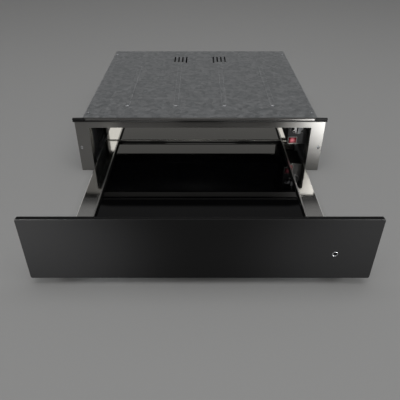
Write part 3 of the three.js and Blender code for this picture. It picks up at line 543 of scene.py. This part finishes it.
# %% Scale ticks
fascia_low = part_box("control_fascia")[0]
first_angle, tick_angle, tick_count, end_widening = -150, 30, 11, 1.8
tick_near, tick_far, tick_half = disc_radius + 1.0 * MM, disc_radius + 2.4 * MM, 0.3 * MM
tick_rise, tick_depth = 0.05 * MM, 0.2 * MM
tick = block((-tick_half, fascia_low.y - tick_rise, tick_near),
             (tick_half, fascia_low.y + tick_depth, tick_far))
bevelled(tick, 0.06 * MM, segments=1)
to_knob = Matrix.Translation((knob_centre.x, 0, knob_centre.z))
ticks = []
for step in range(tick_count):
    turned = Matrix.Rotation(math.radians(first_angle + tick_angle * step), 4, "Y")
    wide = Matrix.Scale(end_widening if step in (0, tick_count - 1) else 1, 4, (1, 0, 0))
    ticks.append(copied(tick, to_knob @ turned @ wide))
bpy.data.objects.remove(tick)
scale = merge(ticks)
settle(scale, "dial_scale", light_plastic, "housing")
print("ticks:", len(ticks))

# %% [markdown]
# The lower edge of the box's front is a bare folded lip. It is a long block with bevelled edges,
# and it shows as a light line in the polished deck below it.

# %% Lip of the control box
lip_start, lip_end, lip_proud, lip_depth = 1.5 * MM, 28 * MM, 0.5 * MM, 1.5 * MM
lip_drop, lip_rise = 0.5 * MM, 1.1 * MM
lip = block((fascia_low.x + lip_start, fascia_low.y - lip_proud, fascia_low.z - lip_drop),
            (fascia_low.x + lip_end, fascia_low.y + lip_depth, fascia_low.z + lip_rise))
bevelled(lip, 0.2 * MM)
settle(lip, "fascia_lip", mirror_steel, "housing")
print("lip at Z", round(fascia_low.z - lip_drop, 4))

# %% [markdown]
# ## The rocker switch
# A lit rocker: a red translucent cap in a glossy bezel. The lamp behind its middle makes the red
# glow pink there, and both ends stay dark. The glow is a round gradient on the cap's own
# coordinates, so it stays on the cap when it tilts.

# %% Red lens finish
rocker_centre = middle("rocker_button")
red_lens = new_finish("red_lens", (0.16, 0.006, 0.012), 0.16)
place = put(red_lens, "ShaderNodeTexCoord")
reach_x, reach_z = 7.5 * MM, 8.5 * MM
lamp_x, lamp_z = rocker_centre.x - 0.8 * MM, rocker_centre.z - 0.6 * MM
centred = put(red_lens, "ShaderNodeMapping", {
    "Location": (-lamp_x / reach_x, 0, -lamp_z / reach_z), "Scale": (1 / reach_x, 0, 1 / reach_z)})
glow = put(red_lens, "ShaderNodeTexGradient", gradient_type="SPHERICAL")
lamp_ramp = put(red_lens, "ShaderNodeValToRGB")
lamp_ramp.color_ramp.elements[0].color = (0.015, 0.0, 0.0, 1)
lamp_ramp.color_ramp.elements[1].color = (0.75, 0.22, 0.26, 1)
wire(red_lens, place.outputs["Object"], centred.inputs["Vector"])
wire(red_lens, centred.outputs["Vector"], glow.inputs["Vector"])
wire(red_lens, glow.outputs["Fac"], lamp_ramp.inputs["Fac"])
wire(red_lens, lamp_ramp.outputs["Color"], shader_of(red_lens).inputs["Emission Color"])
shader_of(red_lens).inputs["Emission Strength"].default_value = 0.75
print("rocker at", [round(v, 4) for v in rocker_centre])

# %% [markdown]
# The cap is a block whose front is cut into columns. The columns near the middle are moved in, so
# the face becomes a shallow hollow between two raised ends, as a finger expects it. Then the whole
# cap is tilted to its rest position.

# %% Rocker cap
tilt, pivot = math.radians(6), Vector((0.228, -0.2385, 0.069))
cap_half_x, cap_half_z = 9.0 * MM, 7.0 * MM
cap_front, cap_back, hollow = -0.2435, -0.2360, 2.0 * MM
cap = block((pivot.x - cap_half_x, cap_front, pivot.z - cap_half_z),
            (pivot.x + cap_half_x, cap_back, pivot.z + cap_half_z))
bpy.ops.object.mode_set(mode="EDIT")
columns = 8
for i in range(1, columns):
    bpy.ops.mesh.select_all(action="SELECT")
    bpy.ops.mesh.bisect(plane_co=(pivot.x + cap_half_x * (2 * i / columns - 1), 0, 0),
                        plane_no=(1, 0, 0))
for i in range(1, columns):
    along = 2 * i / columns - 1
    pick("EDGE", lambda place, run: place.y < cap_front + HAIR and abs(run.x) < HAIR
         and abs(place.x - (pivot.x + cap_half_x * along)) < HAIR)
    bpy.ops.transform.translate(value=(0, hollow * (1 - along * along), 0))
bpy.ops.mesh.select_all(action="SELECT")
bpy.ops.transform.rotate(value=-tilt, orient_axis="Z", center_override=pivot)
bpy.ops.object.mode_set(mode="OBJECT")
bevelled(cap, 0.5 * MM, segments=3, angle=40)
settle(cap, "rocker_cap", red_lens, "rocker", ["rocker_button"], smooth=30)

# %% [markdown]
# ## Screws
# The cover and the front brackets are held by pan-head screws with a cross recess. One is
# modelled: the head's top is inset and raised into a low dome, the shank is extruded from its
# seat, and the recess is cut by two crossed bars. The others are copies.

# %% One cross-recess screw
head_radius, head_height, shank_radius, short_shank = 4 * MM, 1.9 * MM, 2 * MM, 4.4 * MM
dome_inset, dome_rise, recess_floor = 0.9 * MM, 0.35 * MM, 0.9 * MM
bar_reach, bar_half, bar_top = 2.1 * MM, 0.42 * MM, 3 * MM
head_side = head_height - dome_rise
start_clean()
bpy.ops.mesh.primitive_cylinder_add(vertices=32, radius=head_radius, depth=head_side,
                                    location=(0, 0, head_side / 2))
screw = bpy.context.active_object
bpy.ops.object.transform_apply(location=True, rotation=True, scale=True)
bpy.ops.object.mode_set(mode="EDIT")
pick_facing(UP)
grow(dome_inset)
bpy.ops.transform.translate(value=(0, 0, dome_rise))
pick_facing(DOWN)
grow(head_radius - shank_radius)
raise_up(-short_shank)
bpy.ops.object.mode_set(mode="OBJECT")
bevelled(screw, 0.3 * MM, angle=50)
for half_x, half_y in ((bar_reach, bar_half), (bar_half, bar_reach)):
    carve(screw, block((-half_x, -half_y, recess_floor), (half_x, half_y, bar_top)))
finish_surface(screw, zinc_plate, smooth=35)
print("screw faces:", len(screw.data.polygons))

# %% [markdown]
# Each copy is stood on its seat. The screws of the cover have longer shanks, so the vertices of
# the shank's end are moved down before the copy is placed.

# %% Place the screws
long_shank = 7.9 * MM


def place_screw(name, seat, turn, body, shank=short_shank, scale=1.0, replaced=()):
    twin = copied(screw, Matrix.Identity(4))
    for point in twin.data.vertices:
        if point.co.z < -1 * MM:
            point.co.z -= shank - short_shank
    twin.data.transform(Matrix.Translation(seat) @ Matrix.Rotation(turn, 4, "X")
                        @ Matrix.Scale(scale, 4))
    return hand_over(twin, name, body, replaced)


for i in range(1, 5):
    low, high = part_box(f"cover_screw_{i}")
    seat = ((low.x + high.x) / 2, (low.y + high.y) / 2, high.z - head_height)
    place_screw(f"cover_screw_head_{i}", seat, 0, "housing", long_shank,
                replaced=[f"cover_screw_{i}"])
    low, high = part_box(f"front_screw_{i}")
    seat = ((low.x + high.x) / 2, high.y - head_height, (low.z + high.z) / 2)
    place_screw(f"front_screw_head_{i}", seat, -math.pi / 2, "drawer",
                replaced=[f"front_screw_{i}"])

# %% [markdown]
# One more of them, a size smaller, sits in the slot on each side of the frame, where the housing
# is screwed to what it is built into.

# %% Fixing screws in the frame's slots
frame_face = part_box("front_frame")[0].y
fixing_x, fixing_z, fixing_scale = 0.2858, 0.0655, 0.72
for side, name in ((1, "fixing_screw_right"), (-1, "fixing_screw_left")):
    place_screw(name, (side * fixing_x, frame_face, fixing_z), math.pi / 2, "housing",
                scale=fixing_scale)
bpy.data.objects.remove(screw)
print("frame face at Y", round(frame_face, 4))

# %% [markdown]
# ## The glass seal
# A black silicone profile runs round the heating plate. It holds the glass by its edge, and a thin
# upstand covers the cut edge of the steel deck. A flat sheet is inset twice, the middle is taken
# out, and the two rings are extruded to their heights.

# %% Glass seal
seal_low, seal_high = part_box("glass_seal")
glass_top = seal_high.z
upstand, upstand_rise, rim = 1.0 * MM, 4.5 * MM, 1.9 * MM
seal = sheet(seal_low, seal_high, glass_top)
bpy.ops.object.mode_set(mode="EDIT")
bpy.ops.mesh.select_all(action="SELECT")
grow(upstand)
grow(rim)
bpy.ops.mesh.delete(type="FACE")
bpy.ops.mesh.select_all(action="SELECT")
raise_up(seal_low.z - glass_top)
bpy.ops.mesh.select_all(action="SELECT")
bpy.ops.mesh.normals_make_consistent(inside=False)
pick("FACE", lambda place, normal: normal.z > 0.9 and (
    abs(place.x) > seal_high.x - upstand or place.y < seal_low.y + upstand
    or place.y > seal_high.y - upstand))
raise_up(upstand_rise)
bpy.ops.object.mode_set(mode="OBJECT")
bevelled(seal, 0.25 * MM)
settle(seal, "glass_seal_profile", silicone, "drawer", ["glass_seal"])
print("seal", [round(v, 4) for v in size("glass_seal")])

# %% [markdown]
# Outside the upstand a thin rim of drawn steel lies on the deck, along its cut edge. It is a flat
# ring, extruded and bevelled, and its satin surface is the fine light line round the black field.

# %% Deck rim
deck_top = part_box("tray")[1].z
rim_inner, rim_width, rim_rise = 0.3 * MM, 3.0 * MM, 0.28 * MM
rim_spread = Vector((1, 1, 0)) * (rim_width - rim_inner)
deck_rim = sheet(seal_low - rim_spread, seal_high + rim_spread, deck_top)
bpy.ops.object.mode_set(mode="EDIT")
bpy.ops.mesh.select_all(action="SELECT")
grow(rim_width)
bpy.ops.mesh.delete(type="FACE")
bpy.ops.mesh.select_all(action="SELECT")
raise_up(rim_rise)
bpy.ops.mesh.select_all(action="SELECT")
bpy.ops.mesh.normals_make_consistent(inside=False)
bpy.ops.object.mode_set(mode="OBJECT")
bevelled(deck_rim, 0.12 * MM, segments=3)
settle(deck_rim, "deck_rim", rim_steel, "drawer")
print("rim stands above the deck by", round(rim_rise, 5))

# %% [markdown]
# At the back the wall's foot stands on the seal. A narrow polished strip closes it, so the wall
# seems to run down almost to the plate, and only a fine black line of seal is left. It is a long
# block with bevelled edges.

# %% Strip at the wall's foot
wall_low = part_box("rear_wall")[0]
strip_foot, strip_front, strip_back, strip_gap = 1.9 * MM, 1.3 * MM, 0.2 * MM, 0.08 * MM
foot_strip = block((seal_low.x + upstand, seal_high.y - strip_front, glass_top + strip_foot),
                   (seal_high.x - upstand, seal_high.y - strip_back, wall_low.z - strip_gap))
bevelled(foot_strip, 0.15 * MM)
settle(foot_strip, "wall_foot_strip", mirror_steel, "drawer")
print("strip height", round(wall_low.z - glass_top - strip_foot, 4))

# %% [markdown]
# ## The frame's gasket
# A thin black bead lies along the top of the frame, between the two corner spacers, and takes up
# the gap to the closed front. Its black line is also painted shade: it stands in for the dark gap
# above the frame. It is a long block whose edges are rounded by a bevel.

# %% Frame gasket
spacer_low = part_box("corner_spacer_right")[0]
gasket_low, gasket_high, gasket_gap = 0.1320, 0.1348, 0.2 * MM
gasket_proud, gasket_sunk = 3.6 * MM, 0.1 * MM
gasket_and_shade_line = block((-spacer_low.x + gasket_gap, frame_face - gasket_proud, gasket_low),
               (spacer_low.x - gasket_gap, frame_face + gasket_sunk, gasket_high))
bevelled(gasket_and_shade_line, 0.6 * MM, segments=3)
settle(gasket_and_shade_line, "frame_gasket_and_shade_line", gasket_and_shade_rubber, "housing")
print("gasket length", round(2 * spacer_low.x, 4))

# %% [markdown]
# ## The indicator
# A small indicator low on the right of the front lights up when the heater is on. A turned steel
# ring holds a dark lens, slightly domed: its face is inset and pushed out twice.

# %% Indicator ring and lens
lens_low, lens_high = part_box("indicator_lens")
lens_centre = middle("indicator_lens")
ring_radius, ring_wire, lens_radius = 4.35 * MM, 0.55 * MM, 3.9 * MM
start_clean()
bpy.ops.mesh.primitive_torus_add(major_radius=ring_radius, minor_radius=ring_wire,
                                 major_segments=64, minor_segments=12,
                                 rotation=(math.pi / 2, 0, 0),
                                 location=(lens_centre.x, lens_low.y, lens_centre.z))
ring = bpy.context.active_object
settle(ring, "indicator_ring", zinc_plate, "drawer", smooth=180)
lens = drum(lens_radius, lens_high.y - lens_low.y, lens_centre)
bpy.ops.object.mode_set(mode="EDIT")
pick_facing(TO_FRONT)
for inset, rise in ((1.0 * MM, 0.25 * MM), (1.2 * MM, 0.15 * MM)):
    grow(inset, rise)
bpy.ops.object.mode_set(mode="OBJECT")
settle(lens, "indicator_window", heat_glass, "drawer", ["indicator_lens"],
       smooth=50)
print("indicator at", [round(v, 4) for v in lens_centre])

# %% [markdown]
# ## The cable gland
# A mains lead would leave through a gland in the housing's rear panel. Its dome nut is turned by
# hand, so it has ribs for the fingers. A cylinder's rear face is inset and drawn out into a dome,
# every second strip of its side is pushed in, a sleeve is joined on, and a hole is bored through.

# %% Gland and its dome nut
gland_low, gland_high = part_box("cable_gland")
gland_centre = middle("cable_gland")
panel_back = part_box("rear_panel")[1].y
nut_radius, thread_radius, bore_radius, bore_length = 13 * MM, 10 * MM, 3.6 * MM, 60 * MM
nut_start, nut_depth, overlap = gland_high.y - 11 * MM, 5 * MM, 1 * MM
ribs, rib_inset, rib_depth = 24, 0.35 * MM, 0.5 * MM
dome_steps = ((1.0, 1.6), (1.6, 1.8), (2.4, 1.6), (1.6, 1.0))
dome_nut = drum(nut_radius, nut_depth,
                (gland_centre.x, nut_start + nut_depth / 2, gland_centre.z), sides=2 * ribs)
bpy.ops.object.mode_set(mode="EDIT")
pick_facing(TO_REAR)
draw_out(dome_steps, TO_REAR)
pick("FACE", lambda place, normal: abs(normal.y) < 0.1 and math.sin(
    ribs * math.atan2(place.z - gland_centre.z, place.x - gland_centre.x)) > 0)
bpy.ops.mesh.inset(thickness=rib_inset, depth=-rib_depth, use_individual=True)
bpy.ops.object.mode_set(mode="OBJECT")
sleeve_depth = nut_start + overlap - gland_low.y
sleeve = drum(thread_radius, sleeve_depth,
              (gland_centre.x, gland_low.y + sleeve_depth / 2, gland_centre.z))
carve(dome_nut, sleeve, "UNION")
carve(dome_nut, drum(bore_radius, bore_length, gland_centre))
settle(dome_nut, "ribbed_cable_gland", black_plastic, "housing", ["cable_gland"],
       smooth=30)
print("gland stands out of the rear panel by", round(gland_high.y - panel_back, 4))

# %% [markdown]
# Inside the panel a hexagonal lock nut holds it. A cylinder of six sides has its edges bevelled and
# is bored.

# %% Lock nut
lock_low, lock_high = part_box("gland_nut")
lock_centre = middle("gland_nut")
play = 0.3 * MM
lock_nut = drum((lock_high.z - lock_low.z) / 2, lock_high.y - lock_low.y, lock_centre, sides=6)
bevelled(lock_nut, 0.7 * MM, angle=40)
carve(lock_nut, drum(thread_radius + play, bore_length, lock_centre))
settle(lock_nut, "hexagonal_lock_nut", black_plastic, "housing", ["gland_nut"],
       smooth=30)
print("lock nut", [round(v, 4) for v in size("gland_nut")])

# %% [markdown]
# ## Rubber bumpers
# Two bumpers behind the front soften its last bit of travel. Each is a moulded cylinder with a foot
# and a rounded nose: two cuts mark where it narrows above the foot, and its end is inset and drawn
# out in three steps. One is modelled, and the other is a copy.

# %% Bumpers
bump_low, bump_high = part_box("closing_bumper_right")
bump_centre = middle("closing_bumper_right")
bump_radius, bump_length = (bump_high.x - bump_low.x) / 2, bump_high.y - bump_low.y
foot, foot_slope, nose, neck_share = 2.2 * MM, 0.8 * MM, 1.8 * MM, 0.86
nose_steps = ((0.5, 1.0), (1.3, 0.6), (1.6, 0.2))
bumper = drum(bump_radius, bump_length - nose,
              (bump_centre.x, bump_low.y + (bump_length - nose) / 2, bump_centre.z), sides=40)
bpy.ops.object.mode_set(mode="EDIT")
for cut_y in (foot, foot + foot_slope):
    bpy.ops.mesh.select_all(action="SELECT")
    bpy.ops.mesh.bisect(plane_co=(0, bump_low.y + cut_y, 0), plane_no=(0, 1, 0))
pick_facing(TO_REAR)
draw_out(nose_steps, TO_REAR)
bpy.ops.object.mode_set(mode="OBJECT")
for point in bumper.data.vertices:
    if point.co.y > bump_low.y + foot + foot_slope / 2:
        point.co.x = bump_centre.x + (point.co.x - bump_centre.x) * neck_share
        point.co.z = bump_centre.z + (point.co.z - bump_centre.z) * neck_share
bevelled(bumper, 0.3 * MM, angle=50)
finish_surface(bumper, soft_rubber)
left_bumper = copied(bumper, Matrix.Translation((-2 * bump_centre.x, 0, 0)))
hand_over(bumper, "rubber_bumper_right", "drawer", ["closing_bumper_right"])
hand_over(left_bumper, "rubber_bumper_left", "drawer", ["closing_bumper_left"])
print("bumper length", round(bump_length, 4))

# %% [markdown]
# ## Floor, light and camera
# The part stands on a plain pale floor, a large plane that is not a part of it. It reaches so far
# that no view shows its end, and its paint turns paler with the distance, where less light falls.

# %% Floor
start_clean()
floor_size, floor_drop = 150, 0.6 * MM
bpy.ops.mesh.primitive_plane_add(size=floor_size, location=(0, 0, -floor_drop))
floor = bpy.context.active_object
floor.name = "floor"
near_floor, far_tint = (0.50, 0.50, 0.495), (0.72, 0.72, 0.715)
near_range, far_range = 2.5, 10.0
floor_paint = new_finish("floor_paint", near_floor, 0.9)
floor_place = put(floor_paint, "ShaderNodeTexCoord")
floor_reach = put(floor_paint, "ShaderNodeVectorMath", operation="LENGTH")
floor_share = put(floor_paint, "ShaderNodeMapRange", {"From Min": near_range,
                                                      "From Max": far_range})
wire(floor_paint, floor_place.outputs["Object"], floor_reach.inputs[0])
wire(floor_paint, floor_reach.outputs["Value"], floor_share.inputs["Value"])
vary_colour(floor_paint, floor_share.outputs["Result"], near_floor, far_tint, 0.0, 1.0)
floor.data.materials.append(floor_paint)
floor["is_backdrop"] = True
print("floor at Z", round(floor.location.z, 4))

# %% [markdown]
# Polished steel and glass show what stands round them, so the studio is built in the world, from
# the direction that a ray goes. Low down it is pale all round, and at the horizon it takes the
# far floor's tone, so the floor has no edge. Above that, what lies behind the part is dim, with a
# darker field under a slanted edge, and what lies in front of it is bright between two dim sides.

# %% Directions in the world
world = bpy.data.worlds.new("studio")
bpy.context.scene.world = world
world.use_nodes = True
tree = world.node_tree
background = tree.nodes["Background"]
where = tree.nodes.new("ShaderNodeTexCoord")
axes = tree.nodes.new("ShaderNodeSeparateXYZ")
tree.links.new(where.outputs["Generated"], axes.inputs["Vector"])


def world_range(source, start, end, low=0.0, high=1.0):
    span = tree.nodes.new("ShaderNodeMapRange")
    span.interpolation_type = "SMOOTHSTEP"
    for key, value in (("From Min", start), ("From Max", end), ("To Min", low), ("To Max", high)):
        span.inputs[key].default_value = value
    tree.links.new(source, span.inputs["Value"])
    return span.outputs["Result"]


def world_mix(factor, first, second):
    mix = tree.nodes.new("ShaderNodeMix")
    mix.data_type = "RGBA"
    for socket, value in (("A", first), ("B", second)):
        if isinstance(value, tuple):
            mix.inputs[socket].default_value = (*value, 1)
        else:
            tree.links.new(value, mix.inputs[socket])
    tree.links.new(factor, mix.inputs["Factor"])
    return mix.outputs["Result"]


def world_side(normal):
    """How far a direction lies on one side of a plane through the middle of the world."""
    dot = tree.nodes.new("ShaderNodeVectorMath")
    dot.operation = "DOT_PRODUCT"
    dot.inputs[1].default_value = Vector(normal).normalized()
    tree.links.new(where.outputs["Generated"], dot.inputs[0])
    return dot.outputs["Value"]


def world_sum(first, second):
    total = tree.nodes.new("ShaderNodeMath")
    tree.links.new(first, total.inputs[0])
    tree.links.new(second, total.inputs[1])
    return total.outputs["Value"]


print("world helpers ready")

# %% [markdown]
# These are the tones of the fields, and the heights and angles between which one field passes into
# the next.

# %% Tones and edges of the world
pale_wall, dim_wall, dark_wall = (0.45, 0.45, 0.45), (0.18, 0.18, 0.182), (0.02, 0.02, 0.02)
far_floor, bright_wall, high_wall = (0.16, 0.16, 0.159), (0.98, 0.97, 0.95), (0.55, 0.55, 0.55)
side_wall = (0.12, 0.12, 0.12)
halves_meet, side_blur, edge_blur = (-0.15, 0.25), (-0.02, 0.01), (-0.004, 0.004)
high_wall_start, band_end, horizon_end = (0.60, 0.80), (0.24, 0.36), (0.0, 0.06)
edge_tilt = math.radians(35.35)
left_turn, right_turn = math.radians(13.5), math.radians(14.2)
right_zone, right_shifts = (0.19, 0.25), (-0.0045, 0.0015)
left_zone, left_shifts = (-0.25, -0.19), (0.006, 0.0)
print("slanted edge at", round(math.degrees(edge_tilt), 2), "degrees")

# %% [markdown]
# The rear half is split by the slanted edge, which lies a little lower on both sides than in the
# middle, as its reflection in the deck asks. The front half is a bright wall, dimmer high up, with
# a side wall on the left and on the right. The pale band low down is mixed over both halves.

# %% Mix the world
rearward = world_range(axes.outputs["Y"], *halves_meet)
right_shift = world_range(axes.outputs["X"], *right_zone, *right_shifts)
left_shift = world_range(axes.outputs["X"], *left_zone, *left_shifts)
edge_height = world_side((0, -math.sin(edge_tilt), math.cos(edge_tilt)))
shifted_height = world_sum(world_sum(edge_height, right_shift), left_shift)
above_edge = world_range(shifted_height, *edge_blur)
not_left = world_range(world_side((math.cos(left_turn), -math.sin(left_turn), 0)), *side_blur)
not_right = world_range(world_side((-math.cos(right_turn), -math.sin(right_turn), 0)), *side_blur)
rear_half = world_mix(above_edge, dark_wall, dim_wall)
front_half = world_mix(world_range(axes.outputs["Z"], *high_wall_start), bright_wall, high_wall)
front_half = world_mix(not_left, side_wall, front_half)
front_half = world_mix(not_right, side_wall, front_half)
studio = world_mix(rearward, front_half, rear_half)
low_band = world_mix(world_range(axes.outputs["Z"], *horizon_end), far_floor, pale_wall)
studio = world_mix(world_range(axes.outputs["Z"], *band_end), low_band, studio)
tree.links.new(studio, background.inputs["Color"])
background.inputs["Strength"].default_value = 1.0
print("world ready")

# %% [markdown]
# Spots would make pools of light on the floor and glare on the top cover. Light linking keeps them
# off both: a collection names the objects that their light leaves out.

# %% What the spots leave out
kept_dark = bpy.data.collections.new("kept_dark_by_spots")
for item in (floor, solids["top_cover"]):
    kept_dark.objects.link(item)
for link in kept_dark.collection_objects:
    link.light_linking.link_state = "EXCLUDE"

# %% [markdown]
# A large softbox hangs over the part. A narrow spot lights the frame's right side from the right,
# and two low ones reach the front ends of the deck.

# %% Lamps
spot_radius = 0.05


def hang(name, kind, place, target, power):
    light = bpy.data.lights.new(name, kind)
    light.energy = power
    lamp = bpy.data.objects.new(name, light)
    bpy.context.scene.collection.objects.link(lamp)
    lamp.location = place
    aim = Vector(target) - lamp.location
    lamp.rotation_euler = aim.to_track_quat("-Z", "Y").to_euler()
    return lamp


def spot(name, place, target, cone, power):
    lamp = hang(name, "SPOT", place, target, power)
    lamp.data.spot_size = math.radians(cone)
    lamp.data.spot_blend = 1.0
    lamp.data.shadow_soft_size = spot_radius
    lamp.light_linking.receiver_collection = kept_dark


overhead = hang("overhead", "AREA", (0.1, -0.9, 2.4), (0, -0.3, 0), 24)
overhead.data.shape = "RECTANGLE"
overhead.data.size, overhead.data.size_y = 3.2, 2.4
spot("right_window", (0.85, -2.1, 0.26), (0.302, -0.27, 0.147), 7.0, 119)
for name, side, power in (("left_low", -1, 155), ("right_low", 1, 105)):
    spot(name, (side * 0.9, -1.6, 0.13), (side * 0.255, -0.66, 0.075), 16, power)

# %% [markdown]
# The camera looks down at the open drawer from in front, 34.8 degrees down, with a 40 mm lens.

# %% Camera
camera_data = bpy.data.cameras.new("camera")
camera_data.lens = 40
camera_data.sensor_width = 36
camera_data.clip_end = 200
camera = bpy.data.objects.new("camera", camera_data)
bpy.context.scene.collection.objects.link(camera)
look_down = 34.8
camera.location = (0, -1.2275, 0.574)
camera.rotation_euler = (math.radians(90 - look_down), 0, 0)
bpy.context.scene.camera = camera
bpy.context.scene.view_settings.view_transform = "Standard"
print("camera at", tuple(camera.location))

# %% [markdown]
# Last comes the size of the dressed part, from everything that renders except the floor.

# %% The dressed part's size
start_clean()
low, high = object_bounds()
print("size", [round(v, 4) for v in high - low])
